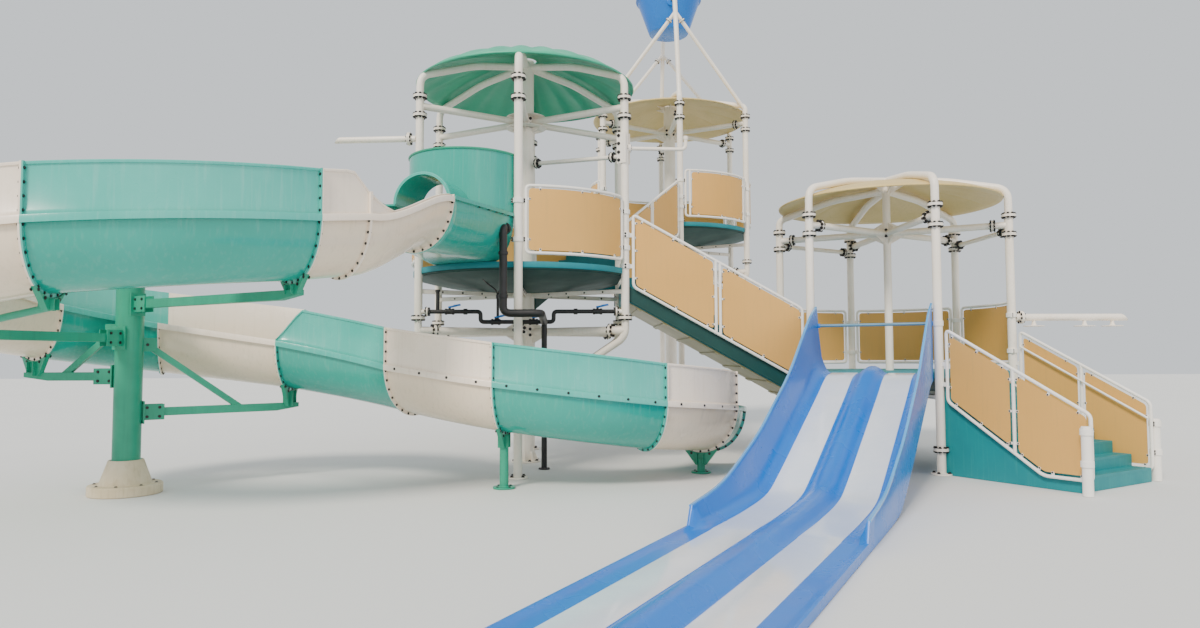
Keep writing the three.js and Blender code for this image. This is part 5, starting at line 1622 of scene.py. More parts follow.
@dataclass
class FlumePiece:
    """One piece: trough, turned-down lips, high walls with a rolled top, and its two end flanges."""

    number: int
    part: FlumePart
    start: Station
    arc_steps: int = 26
    pace: float = 0.11
    skirt: float = 0.062
    bead: float = 0.036
    bolt_spacing: float = 0.13
    lip_bolts_from: int = 10

    def build(self, bolts: Fasteners) -> None:
        """Builds the piece and adds its bolts to those of the flume."""
        name, body = f"flume_{self.number:02d}_moulding", Mould()
        inset = 0.00015 / self.part.length
        count = max(6, math.ceil(self.part.length / self.pace))
        shares = [inset + (1 - 2 * inset) * k / count for k in range(count + 1)]
        stations = [(self.start.along(self.part, s), s) for s in shares]
        body.loft([[at.spot(u, v) for u, v in self._trough()] for at, _ in stations], 0)
        for side, wall in ((1, self.part.left), (-1, self.part.right)):
            body.loft([[at.spot(side * u, v) for u, v in self._lip()] for at, _ in stations], 1)
            if wall:
                rows = [[at.spot(side * u, v) for u, v in self._wall(self._height(wall, s))] for at, s in stations]
                body.loft(rows, 1)
        ring = RING_T / self.part.length
        for inner, outer, sign in ((ring, inset, 1), (1 - ring, 1 - inset, -1)):
            self._flange(body, bolts, inner, outer, sign)
        if self.number >= self.lip_bolts_from and self.part.right:
            self._lip_bolts(bolts)
        # Lips, high walls and flanges take the lighter gelcoat: painted sunlight on the upper faces.
        shell, rim = (CREAM_GEL, CREAM_SUNLIT_GEL) if self.part.cream else (TEAL_GEL, TEAL_SUNLIT_GEL)
        slot = "cream_shell" if self.part.cream else "teal_shell"
        body.piece(name, [shell, rim], slot, [f"flume_piece_{self.number:02d}"], crease=35)

    def _height(self, wall: Rows, share: float) -> float:
        """Share of a high wall's full height at a share of the piece."""
        for (a, low), (b, high) in zip(wall, wall[1:]):
            if share <= b + 1e-6:
                t = min(1.0, max(0.0, (share - a) / (b - a)))
                return low + (high - low) * t
        return wall[-1][1]

    def _trough(self) -> list[tuple[float, float]]:
        """Closed section of the trough."""
        turns = [math.pi * k / self.arc_steps for k in range(self.arc_steps + 1)]
        inner = [(TROUGH_W * math.cos(a), TROUGH_D * (1 - math.sin(a))) for a in turns]
        wide, deep = TROUGH_W + TROUGH_T, TROUGH_D + TROUGH_T
        outer = [(wide * math.cos(a), TROUGH_D - deep * math.sin(a)) for a in reversed(turns)]
        return inner + outer

    def _lip(self) -> list[tuple[float, float]]:
        """Closed section of a lip with its turned-down edge."""
        w, d, t, lip = TROUGH_W, TROUGH_D, TROUGH_T, TROUGH_W + TROUGH_LIP
        return [
            (w - 0.001, d - t), (lip - 0.009, d - t), (lip - 0.009, d - self.skirt), (lip, d - self.skirt),
            (lip, d + t - 0.010), (lip - 0.004, d + t - 0.003), (lip - 0.010, d + t), (w - 0.001, d + t),
        ]

    def _wall(self, height: float) -> list[tuple[float, float]]:
        """Closed section of a high wall: a crease near its foot and a rolled top edge."""
        w, t, foot = TROUGH_W, TROUGH_T, TROUGH_D + TROUGH_T
        over = (WALL_H - TROUGH_T) * height
        top, bead = foot + over, min(self.bead, over * 0.5)
        crease = min(0.05, over * 0.3)
        return [
            (w, foot - 0.006), (w + t + 0.006, foot - 0.006), (w + t + 0.006, foot + crease * 0.8),
            (w + t, foot + crease), (w + t, top - bead), (w + t + 0.014, top - bead * 0.85),
            (w + t + 0.016, top - bead * 0.3), (w + t + 0.008, top - 0.001), (w + 0.004, top), (w, top - 0.006),
        ]

    def _flange_line(self, share: float) -> list[tuple[tuple[float, float], tuple[float, float]]]:
        """Inner and outer points of an end flange from the left edge round to the right."""
        top = {1: self.part.left, -1: self.part.right}
        inner_w, inner_d = TROUGH_W + TROUGH_T - 0.002, TROUGH_D + TROUGH_T - 0.002
        outer_w, outer_d = TROUGH_W + RING_OUT, TROUGH_D + RING_OUT

        def edge(side: int) -> list[tuple[tuple[float, float], tuple[float, float]]]:
            """The upright part of the flange on one side, from its top down."""
            levels = [TROUGH_D]
            if top[side]:
                over = (WALL_H - TROUGH_T) * self._height(top[side], share)
                levels = [TROUGH_D + TROUGH_T + over, TROUGH_D]
            return [((side * inner_w, v), (side * outer_w, v)) for v in levels]

        rows = edge(1)
        for k in range(1, self.arc_steps):
            c, s = math.cos(math.pi * k / self.arc_steps), math.sin(math.pi * k / self.arc_steps)
            rows.append(((inner_w * c, TROUGH_D - inner_d * s), (outer_w * c, TROUGH_D - outer_d * s)))
        return [*rows, *reversed(edge(-1))]

    def _flange(self, body: Mould, bolts: Fasteners, inner: float, outer: float, sign: int) -> None:
        """One end flange with its bolts."""
        near, far = self.start.along(self.part, inner), self.start.along(self.part, outer)
        line = self._flange_line(outer)
        body.loft([[near.spot(*a), near.spot(*b), far.spot(*b), far.spot(*a)] for a, b in line], 1)
        middle = [near.spot((a[0] + b[0]) / 2, (a[1] + b[1]) / 2) for a, b in line]
        if self.part.left and self.part.left[0][1] < 1 or self.number == 1:
            middle = [point for point in middle if point.z < near.z + TROUGH_D + 0.01]
        for point in spaced(middle, self.bolt_spacing):
            bolts.put(point, near.forward * sign)

    def _lip_bolts(self, bolts: Fasteners) -> None:
        """Sparse bolts through the lip under the right-hand wall."""
        count = round(self.part.length / 0.35)
        for k in range(count):
            at = self.start.along(self.part, (k + 0.5) / count)
            point = at.spot(-(TROUGH_W + TROUGH_LIP), TROUGH_D - 0.02)
            bolts.put(point, at.spot(-2, 0) - at.spot(-1, 0))


@dataclass
class FlumeSupports:
    """The flume's mast on its cast footing, its arms and saddles, and two low legs."""

    x: float = -5.06
    y: float = -2.95
    radius: float = 0.168
    top: float = 2.78
    cone_high: float = 0.44
    saddle_thick: float = 0.06
    # Joint of the flume, level of the arm, level of its brace or zero, and where the brace meets the arm
    arms: tuple[tuple[int, float, float, float], ...] = (
        (2, 2.475, 0, 0),
        (4, 2.03, 0, 0),
        (6, 1.53, 2.30, 0.7),
        (8, 1.05, 2.10, 0.68),
    )

    def build(self) -> None:
        """Builds the mast, its footing and the low legs."""
        joints = flume_joints()
        steel, bolts = Mould(), Fasteners()
        r, low = self.radius, self.cone_high
        profile = [(r + 0.012, low), (r, low + 0.012), (r, self.top - 0.016), (r + 0.01, self.top - 0.016)]
        profile += [(r + 0.01, self.top - 0.004), (r + 0.004, self.top)]
        steel.spin(profile, self._at(0), sides=40)
        for joint, level, brace, share in self.arms:
            self._arm(steel, bolts, joints[joint], joint, level, brace, share)
        third, fourth = joints[3], joints[4]
        steel.bar(Vector((fourth.x, fourth.y, 2.03)), Vector((third.x, third.y, third.z - 0.15)), 0.038, 20)
        self._saddle(steel, bolts, third, 3, third.z - 0.18, 0.08)
        steel.piece("flume_mast_steel", [TEAL_COAT], "teal_steel", ["flume_mast"], bevel=0.002)
        bolts.piece("flume_mast_bolts", *LEG_HEAD)
        self._footing()
        for number, joint in ((1, 10), (2, 12)):
            self._low_leg(number, joints[joint], joint)

    def _at(self, level: float) -> Vector:
        """The mast's axis at a level."""
        return Vector((self.x, self.y, level))

    def _saddle(self, steel: Mould, bolts: Fasteners, joint: Station, k: int, level: float, half: float) -> None:
        """A cradle under the bolted flanges of a joint, with a foot plate and two stiffeners."""
        part = FLUME_PARTS[k]
        drop = GAP + RING_T * part.fall / part.length
        turns = [math.pi * (1 / 3 + n / 24) for n in range(9)]
        wide, deep = TROUGH_W + RING_OUT, TROUGH_D + RING_OUT
        arc = [(wide * math.cos(a), TROUGH_D - deep * math.sin(a) - drop) for a in turns]
        low = level - joint.z
        outline = [(half, low), *arc, (-half, low)]
        t = self.saddle_thick / 2
        steel.loft([[joint.spot(u, v) + joint.forward * s for u, v in outline] for s in (-t, t)])
        if arc[4][1] - low > 0.05:
            for side in (-1, 1):
                u = side * half * 0.62
                spot = joint.spot(u, (arc[4][1] + low) / 2)
                steel.block(spot, joint.forward, UP, (0.15, arc[4][1] - low - 0.01, 0.012))
        for n in (0, 2, 6, 8):
            u, v = arc[n]
            for sign in (-1, 1):
                bolts.put(joint.spot(u * 0.93, v - 0.03) + joint.forward * t * sign, joint.forward * sign)

    def _arm(
        self, steel: Mould, bolts: Fasteners, joint: Station, k: int, level: float, brace: float, share: float
    ) -> None:
        """One square arm with a tapered tip, its bracket at the mast, its saddle and its brace."""
        root, tip = self._at(level), Vector((joint.x, joint.y, level))
        out = (tip - root).normalized()
        across = UP.cross(out)
        end = tip + out * 0.12
        rings = []
        for point, deep in ((root + out * 0.1, 0.11), (end - out * 0.32, 0.11), (end, 0.062)):
            wide, low = 0.0475, 0.055
            rows = [(-wide, low - deep), (wide, low - deep), (wide, low), (-wide, low)]
            rings.append([point + across * u + UP * v for u, v in rows])
        steel.loft(rings)
        for side in (-1, 1):
            plate = root + out * (self.radius + 0.11) + across * side * 0.0555
            steel.block(plate, out, UP, (0.30, 0.21, 0.014))
            for du in (-0.06, 0.09):
                for dv in (-0.06, 0.06):
                    bolts.put(plate + out * du + UP * dv + across * side * 0.007, across * side)
        steel.block(root + out * (self.radius + 0.006), out, UP, (0.02, 0.3, 0.2))
        self._saddle(steel, bolts, joint, k, level, 0.11)
        if brace > 0:
            start, stop = self._at(brace), root.lerp(tip, share)
            along = (stop - start).normalized()
            steel.strut(start, stop, across, 0.06, 0.08)
            for side in (-1, 1):
                plate = start + along * (self.radius + 0.09) + across * side * 0.037
                steel.block(plate, out, UP, (0.22, 0.18, 0.012))
                bolts.put(plate + across * side * 0.006, across * side)

    def _footing(self) -> None:
        """The cast pad and cone under the mast."""
        cast, bolts = Mould(), Fasteners()
        profile = [(0.434, 0), (0.44, 0.008), (0.44, 0.112), (0.43, 0.126), (0.418, 0.13), (0.32, 0.131)]
        profile += [(0.308, 0.142), (0.212, self.cone_high - 0.012), (0.204, self.cone_high - GAP)]
        cast.spin(profile, self._at(0), sides=48)
        cast.piece("flume_mast_pad", [CAST_BASE], "footing", ["flume_mast_footing"])
        bolts.ring(self._at(0.13), UP, 0.37, 8)
        bolts.piece("flume_mast_anchor_nuts", 0.016, 0.022, STEEL_SCREW, "teal_steel")

    def _low_leg(self, number: int, joint: Station, k: int) -> None:
        """A short round leg with its foot plate under a low joint."""
        steel, bolts = Mould(), Fasteners()
        base = Vector((joint.x, joint.y, 0))
        top = joint.z - 0.15
        profile = [(FOOT_R, 0), (FOOT_R, FOOT_T), (0.072, FOOT_T), (0.06, FOOT_T + 0.012), (0.06, top)]
        steel.spin(profile, base, sides=28)
        self._saddle(steel, bolts, joint, k, max(joint.z - 0.24, 0.06), 0.08)
        bolts.ring(base + UP * FOOT_T, UP, FOOT_BOLTS, 4, 0.78)
        node = f"flume_low_support_{number}"
        steel.piece(f"flume_low_leg_{number}", [TEAL_COAT], "teal_steel", [node], bevel=0.002)
        bolts.piece(f"flume_low_leg_{number}_bolts", *LEG_HEAD)


# ---- Tub, pipes, slide and bucket


def cut_shape(base: Mould, cutters: Sequence[Mould], name: str) -> bpy.types.Mesh:
    """Cuts closed shapes out of another and returns the result as a plain mesh.

    Args:
        base: Shape that is cut.
        cutters: Shapes whose room is taken out.
        name: Name of the resulting mesh.

    Returns:
        The cut mesh, with the base's finish numbers.
    """
    holder = new_object(name + "_base", base.mesh(name + "_base"))
    tools = []
    for k, cutter in enumerate(cutters):
        tool = new_object(f"{name}_cutter_{k}", cutter.mesh(f"{name}_cutter_{k}"))
        cut = holder.modifiers.new(tool.name, "BOOLEAN")
        cut.object, cut.operation, cut.solver, cut.use_self = tool, "DIFFERENCE", "EXACT", True
        tools.append(tool)
    mesh = plain_mesh(holder, name)
    for tool in tools:
        bpy.data.objects.remove(tool)
    return mesh


def taut(points: Sequence[Vector]) -> Mould:
    """The tightest closed skin round a set of points."""
    work = bmesh.new()
    for point in points:
        work.verts.new(point)
    found = bmesh.ops.convex_hull(work, input=work.verts)
    inside = {*found["geom_interior"], *found["geom_unused"]}
    spare = [v for v in inside if isinstance(v, bmesh.types.BMVert)]
    bmesh.ops.delete(work, geom=spare, context="VERTS")
    bmesh.ops.dissolve_limit(work, angle_limit=math.radians(0.3), verts=work.verts, edges=work.edges)
    work.verts.index_update()
    made = Mould([v.co.copy() for v in work.verts], [tuple(v.index for v in f.verts) for f in work.faces])
    made.marks = [0] * len(made.faces)
    work.free()
    return made


@dataclass
class Tub:
    """The launch tub outside tower A: a bowl and chute under one skin, a wall and a hooded mouth."""

    plan: TowerPlan = TOWER_A
    radius: float = 0.87
    wall: float = 0.024
    inset: float = 0.40
    top: float = 4.80
    band: float = 0.045
    mouth_w: float = TROUGH_W
    hood_r: float = 0.41
    hood_back: float = 0.19
    end_ring: float = 0.59
    heading: float = 240.0
    bolts: int = 22

    def __post_init__(self) -> None:
        """Lays the chute's axis from the tub's centre to the flume's first joint, and what ends it there."""
        self.ahead = heading_vector(self.heading)
        self.turns = [heading_vector(self.heading - 90 + 5 * k) for k in range(37)]
        joint = flume_joints()[0]
        self.lip = joint.z + TROUGH_D
        self.back = self.plan.beside(5, 0, 0, joint.z + self.mouth_w)
        line = Vector((joint.x, joint.y, joint.z + self.mouth_w)) - self.back
        self.out, self.length = line.normalized(), line.length
        self.centre = Vector((self.back.x, self.back.y, 0))
        self.past = Mould()
        beyond = Vector((joint.x, joint.y, self.lip)) + joint.forward * (1.0 - 0.00015)
        self.past.block(beyond, joint.forward, UP, (2.0, 3.0, 3.0))

    def build(self) -> None:
        """Builds the tub, its bands and its mouth."""
        r, lip = self.radius, self.lip
        self._cut(self._skin(0.0, 0.0), [self._skin(self.wall, 0.15), self.past], "tub_bowl", nodes=["tower_a_tub"])
        rows = [(r - self.wall, lip - 0.015), (r, lip - 0.015), (r, self.top), (r - self.wall, self.top)]
        self._cut(self._half(rows), self._rooms(0.0), "tub_wall")
        self._mouth()
        band = self._slab((lip - 0.025, lip + 0.025), self.band, 0.0)
        hollow = self._slab((lip - 0.1, lip + 0.1), -0.006, 0.1)
        self._cut(band, [hollow, self.past, *self._rooms(0.02)], "tub_band")
        rim = [(r - 0.03, self.top - 0.03), (r + 0.014, self.top - 0.03), (r + 0.018, self.top - 0.012)]
        rim += [(r + 0.01, self.top), (r - 0.026, self.top)]
        self._half(rim).piece("tub_rim", [TEAL_COAT], "teal_shell")
        self._band_bolts()

    def _band_bolts(self) -> None:
        """Bolts through the band on both faces, but not in the mouth."""
        bolts, centre = Fasteners(), self.centre
        corner = Vector((self.length, self.mouth_w + self.wall))
        touch = math.atan2(corner.y, corner.x) + math.acos(self.radius / corner.length)
        heading = math.atan2(self.out.y, self.out.x)
        for k in range(self.bolts):
            a = math.radians(self.heading - 86 + 172 * k / (self.bolts - 1))
            turn = abs(math.remainder(a - heading, 2 * math.pi))
            if turn < 0.45:
                continue
            reach = self.radius / math.cos(max(0.0, touch - turn)) + self.band * 0.55
            spot = Vector((centre.x + reach * math.cos(a), centre.y + reach * math.sin(a), 0))
            for way in (1, -1):
                bolts.put(spot + UP * (self.lip + way * 0.025), UP * way)
        bolts.piece("tub_bolts", *TRIM_HEAD)

    def _skin(self, within: float, over: float) -> Mould:
        """The bowl and the chute under one taut skin, up to the lip.

        Args:
            within: Distance from the outer face to the skin.
            over: How far the skin reaches past the lip, the chute's end and the deck's edge.

        Returns:
            The closed shape.
        """
        rows = self._bowl(self.plan.deck + GAP, self.lip - 0.03, within)
        rows.append((rows[-1][0], self.lip + over))
        points = []
        for turn in self.turns:
            shift = self.ahead * -over if turn in (self.turns[0], self.turns[-1]) else Vector()
            points += [self.centre + turn * r + UP * z + shift for r, z in rows]
        half, across = self.mouth_w + self.wall - within, UP.cross(self.out)
        for past in sorted({0.0, over}):
            end, reach = self.back + self.out * (self.length + 0.04 + past), half - 0.3 * past
            points += [p for p in circle(end, self.out, reach, 64) if p.z < end.z + 0.001]
            points += [end + across * reach * side + UP * (self.lip + over - end.z) for side in (-1, 1)]
        return taut(points)

    def _slab(self, levels: tuple[float, float], grow: float, over: float) -> Mould:
        """A flat slab inside the lip's outline, grown by a distance.

        Args:
            levels: Levels of the underside and the top.
            grow: Distance by which the outline grows.
            over: How far the slab reaches past the deck's edge.

        Returns:
            The closed shape.
        """
        base, across = self.centre, UP.cross(self.out)
        plan = [base + turn * (self.radius + grow) for turn in self.turns]
        plan += [plan[k] - self.ahead * over for k in (0, -1)]
        half = self.mouth_w + self.wall + grow
        plan += [base + self.out * (self.length + max(0.0, grow)) + across * half * side for side in (-1, 1)]
        return taut([p + UP * z for p in plan for z in levels])

    def _rooms(self, grow: float) -> list[Mould]:
        """The room inside the chute below its lips and inside the hood over them, grown by a distance."""
        chute, rings = Mould(), []
        for d in (0.0, 2.0):
            ring = circle(self.back + self.out * d, self.out, self.mouth_w + grow, 64)
            rings.append([Vector((p.x, p.y, min(p.z, self.lip - self.wall))) for p in ring])
        chute.loft(rings)
        return [chute, self._passage(self.hood_r - self.wall + grow)]

    def _passage(self, radius: float) -> Mould:
        """A round bar through the hood, level with the lip."""
        made, start = Mould(), self.back + UP * (self.lip - self.back.z)
        made.bar(start, start + self.out * 2.0, radius, 64)
        return made

    def _bowl(self, floor: float, high: float, within: float) -> list[tuple[float, float]]:
        """The bowl's round profile from its foot up to its upright wall.

        Args:
            floor: Level of the foot.
            high: Level where the wall stands upright.
            within: Distance from the outer face to the profile.

        Returns:
            Radius and level of each point.
        """
        foot, rise = self.radius - self.inset - within / 2, high - floor - within
        turns = [math.pi / 2 * k / 14 for k in range(15)]
        swing = self.inset - within / 2
        return [(foot + swing * math.sin(a), floor + within + rise * (1 - math.cos(a))) for a in turns]

    def _half(self, rows: Rows) -> Mould:
        """A closed profile turned half round the tub's axis, on the outer side of the deck's edge."""
        made = Mould()
        made.loft([[self.centre + turn * r + UP * z for r, z in rows] for turn in self.turns])
        return made

    def _ring(self, rows: Rows, up: float) -> Mould:
        """A ring round the chute's axis, or a line over it, from radius and distance out."""
        made, start = Mould(), self.back + UP * up
        made.loft([circle(start + self.out * d, self.out, r, 64) for r, d in rows], loop=True)
        return made

    def _mouth(self) -> None:
        """The mouth: the ring at the chute's end, a lid on its lips and a half-round hood through the lid."""
        up, wall, end, length = self.lip - self.back.z, self.wall, self.length - self.hood_back, self.length
        level = self.back + UP * up
        over, under, drum, beyond = (Mould() for _ in range(4))
        over.block(level + UP * 1.5, self.out, UP, (6.0, 3.0, 6.0))
        under.block(level - UP * 1.506, self.out, UP, (6.0, 3.0, 6.0))
        drum.spin([(self.radius - 0.012, 3.0), (self.radius - 0.012, 5.2)], self.centre, sides=64)
        beyond.block(level + self.out * (end + 1.5), self.out, UP, (3.0, 3.0, 3.0))
        inner, outer = self.mouth_w + 0.006, self.end_ring
        rows = [(inner, length - 0.032), (outer, length - 0.032), (outer, length + 0.04), (inner, length + 0.04)]
        # The end ring takes the lighter gelcoat: painted sunlight.
        self._cut(self._ring(rows, 0.0), [over, self.past], "tub_chute", TEAL_SUNLIT_GEL)
        inner, outer = self.hood_r - wall, self.hood_r
        hood = self._ring([(inner, 0.55), (outer, 0.55), (outer, end), (inner, end)], up)
        self._cut(hood, [drum, under], "tub_hood")
        rim = [(outer - 0.006, end - 0.06), (outer + 0.018, end - 0.055), (outer + 0.018, end - 0.004)]
        rim += [(inner + 0.004, end + 0.002), (inner + 0.004, end - 0.01)]
        # The hood rim takes the lighter gelcoat: painted sunlight.
        self._cut(self._ring(rim, up), [under], "tub_hood_rim", TEAL_SUNLIT_GEL)
        lid = self._slab((self.lip - wall, self.lip + 0.002), -0.004, 0.0)
        self._cut(lid, [drum, beyond, self._passage(self.hood_r - wall / 2)], "tub_shoulders")

    @staticmethod
    def _cut(
        base: Mould, cutters: Sequence[Mould], name: str, finish: Finish = TEAL_GEL, nodes: Sequence[str] = ()
    ) -> None:
        """Cuts shapes out of another, dresses the result and hands it in."""
        mesh = cut_shape(base, cutters, name + "_cut")
        mesh.materials.clear()
        mesh.materials.append(finish.material())
        smooth(mesh)
        hand_in(new_object(name, mesh), "teal_shell", nodes, "structure")


@dataclass
class Manifold:
    """The black pipework under tower A's deck, with its valves and hoses."""

    y: float = PIPE_Y
    level: float = 2.325
    ends: float = PIPE_ENDS
    reach: float = PIPE_REACH
    small: float = 0.034
    large: float = 0.058
    feed_x: float = 0.35
    feed_r: float = 0.045
    riser_x: float = -0.2
    riser_y: float = -2.14
    vent_x: float = -1.34
    hose_x: float = -0.389
    end_valves: tuple[float, ...] = (-1.15, 1.20)
    middle_valves: tuple[float, ...] = (-0.42, 0.18)

    def build(self) -> None:
        """Builds the pipes, their fittings, the valves and the hoses."""
        body, bolts = Mould(), Fasteners()
        y, level, ends, reach = self.y, self.level, self.ends, self.reach - GAP
        header = [(-reach, ends), (-0.66, ends), (-0.66, level), (0.5, level), (0.5, ends), (reach, ends)]
        body.tube(bend([Vector((x, y, z)) for x, z in header], 0.06, 8), self.small, 20)
        left, front, feed, r = self.riser_x, self.riser_y, Vector((self.feed_x, y, 0)), self.feed_r
        riser = [(left, -1.9, 3.66), (left, front, 3.66), (left, front, 2.4), (feed.x, front, 2.4), (feed.x, y, level)]
        body.tube(bend([Vector(p) for p in riser], 0.11, 9), self.large, 24)
        for z in (2.62, 3.25):
            body.washer(Vector((left, front, z)), UP, 0.05, self.large + 0.012, 0.05)
        body.washer(Vector((left, -2.03, 3.66)), Vector((0.15, 1, 0)), 0.05, self.large + 0.032, 0.08)
        body.spin([(r * 2, 0), (r * 2, 0.02), (r + 0.007, 0.02), (r, 0.03), (r, level)], feed, sides=28)
        bolts.ring(feed + UP * 0.02, UP, 0.07, 4)
        for z in (0.7, 1.6):
            flange_pair(body, bolts, feed + UP * z, UP, 0.085, r)
        vent = Vector((self.vent_x, y, 0))
        body.bar(vent + UP * ends, vent + UP * 2.84, 0.029, 18)
        body.spin([(0.034, 2.805), (0.04, 2.812), (0.04, 2.84), (0.03, 2.84)], vent, sides=18)
        for sign in (-1, 1):
            face, axis = Vector((sign * reach, y, ends)), Vector((-sign, 0, 0))
            body.washer(face, axis, 0.02, 0.07, 0.025)
            bolts.ring(face + axis * 0.025, axis, 0.055, 4)
        for x, z in ((-0.9, ends), (-0.05, level), (feed.x, level), (0.85, ends)):
            body.washer(Vector((x - 0.03, y, z)), Vector((1, 0, 0)), 0.02, self.small + 0.014, 0.06)
        self._hoses(body)
        body.piece("manifold_pipes", [BLACK_PIPE], "black_pipe", ["tower_a_manifold"])
        bolts.piece("manifold_bolts", 0.01, 0.012, STEEL_SCREW)
        self._valves()

    def _valves(self) -> None:
        """Ball valves with a flat moulded lever on top."""
        body = Mould()
        (left, right), ends, level = self.end_valves, self.ends, self.level
        for x, z in ((left, ends), *((x, level) for x in self.middle_valves), (right, ends)):
            spot = Vector((x, self.y, z))
            half = [(0.043, 0.036), (0.05, 0.04), (0.05, 0.07), (0.044, 0.075)]
            body.spin([*[(r, -z) for r, z in reversed(half)], *half], spot, Vector((1, 0, 0)), 20)
            body.spin([(0.02, 0.03), (0.02, 0.062), (0.014, 0.066)], spot, UP, 16)
            path = [spot + Vector(p) for p in ((-0.02, 0, 0.07), (0.03, -0.01, 0.078), (0.12, -0.02, 0.098))]
            body.tube(bend(path, 0.03, 5), 0.016, 12, 1)
            grip, along = spot + Vector((0.12, -0.022, 0.1)), Vector((1, -0.1, 0.15))
            body.block(grip, along, Vector((0, 1, 0)), (0.11, 0.04, 0.03), 1)
        body.piece("manifold_valves", [BLACK_PIPE, BLUE_LEVER], "black_pipe", bevel=0.002)

    def _hoses(self, body: Mould) -> None:
        """Thin tubes from the header up to a fork at the deck's front edge."""
        stem, x = self.y, self.hose_x
        body.bar(Vector((x, stem, self.level)), Vector((x, stem, 2.73)), 0.022, 14)
        body.bar(Vector((x, stem, 2.70)), Vector((x, stem, 2.76)), 0.03, 14)
        for sign in (-1, 1):
            path = [(0, 0, 2.74), (0.03, 0, 2.84), (0.16, -0.1, 2.93), (0.2, -0.35, 2.98)]
            body.tube(bend([Vector((x + sign * u, stem + v, z)) for u, v, z in path], 0.09, 7), 0.012, 10)


@dataclass
class SprayPipe:
    """A spray pipe bolted to a post: level, with a lifted end, or a boom with nozzles under it."""

    plan: TowerPlan
    post: int
    level: float
    direction: tuple[float, float]
    length: float
    node: str
    radius: float
    flange: float
    flange_at: float
    lift: float = 0.0
    nozzles: tuple[float, ...] = ()
    drop: float = 0.15
    disc: float = 0.16

    def build(self) -> None:
        """Builds the pipe with its flanges, collar and outlets."""
        body, bolts = Mould(), Fasteners()
        start = self.plan.corner(self.post, self.level)
        along = Vector((*self.direction, 0)).normalized()
        face, end = start + along * (POST_R - 0.004), start + along * self.length
        if self.lift > 0:
            body.tube(bend([face, end, end + UP * self.lift], 0.09, 9), self.radius, 22)
            cap = end + UP * self.lift
            body.spin([(0.034, -0.06), (0.038, -0.055), (0.038, -0.006), (0.03, 0)], cap, UP, 22)
        else:
            self._level_tube(body, face, end, along)
        plates = start + along * self.flange_at
        for sign in (-1, 1):
            body.washer(plates + along * sign * 0.001, along * sign, self.radius * 0.8, self.flange, FLANGE_T)
        reach = along * (FLANGE_T + 0.001)
        bolts.pair(plates - reach, plates + reach, (self.radius + self.flange) / 2 + 0.004, 8)
        for reach in self.nozzles:
            self._nozzle(body, start + along * reach)
        body.piece(f"{self.node}_tube", [CREAM_COAT], "cream_steel", [self.node])
        head = (0.015, 0.02) if self.flange > 0.1 else (0.009, 0.011)
        bolts.piece(f"{self.node}_bolts", *head)

    def _level_tube(self, body: Mould, face: Vector, end: Vector, along: Vector) -> None:
        """A level tube whose outer end is cut at a slant, its lower side longer."""
        rings = []
        for point, slant in ((face, 0.0), (end - along * self.radius, self.radius * 0.9)):
            ring = circle(point, along, self.radius, 28)
            rings.append([p - along * slant * (p.z - point.z) / self.radius for p in ring])
        body.loft(rings)

    def _nozzle(self, body: Mould, spot: Vector) -> None:
        """A flat round nozzle on a conical stem under the tube."""
        d, r = self.drop, self.disc
        disc = [(r - 0.012, -d), (r - 0.002, -d + 0.003), (r, -d + 0.009), (r - 0.01, -d + 0.014), (0.05, -d + 0.016)]
        stem = [(0.048, -d + 0.018), (0.036, -d + 0.03), (0.026, -d + 0.07), (0.022, -self.radius * 0.6)]
        body.spin([*disc, *stem], spot, UP, 40)


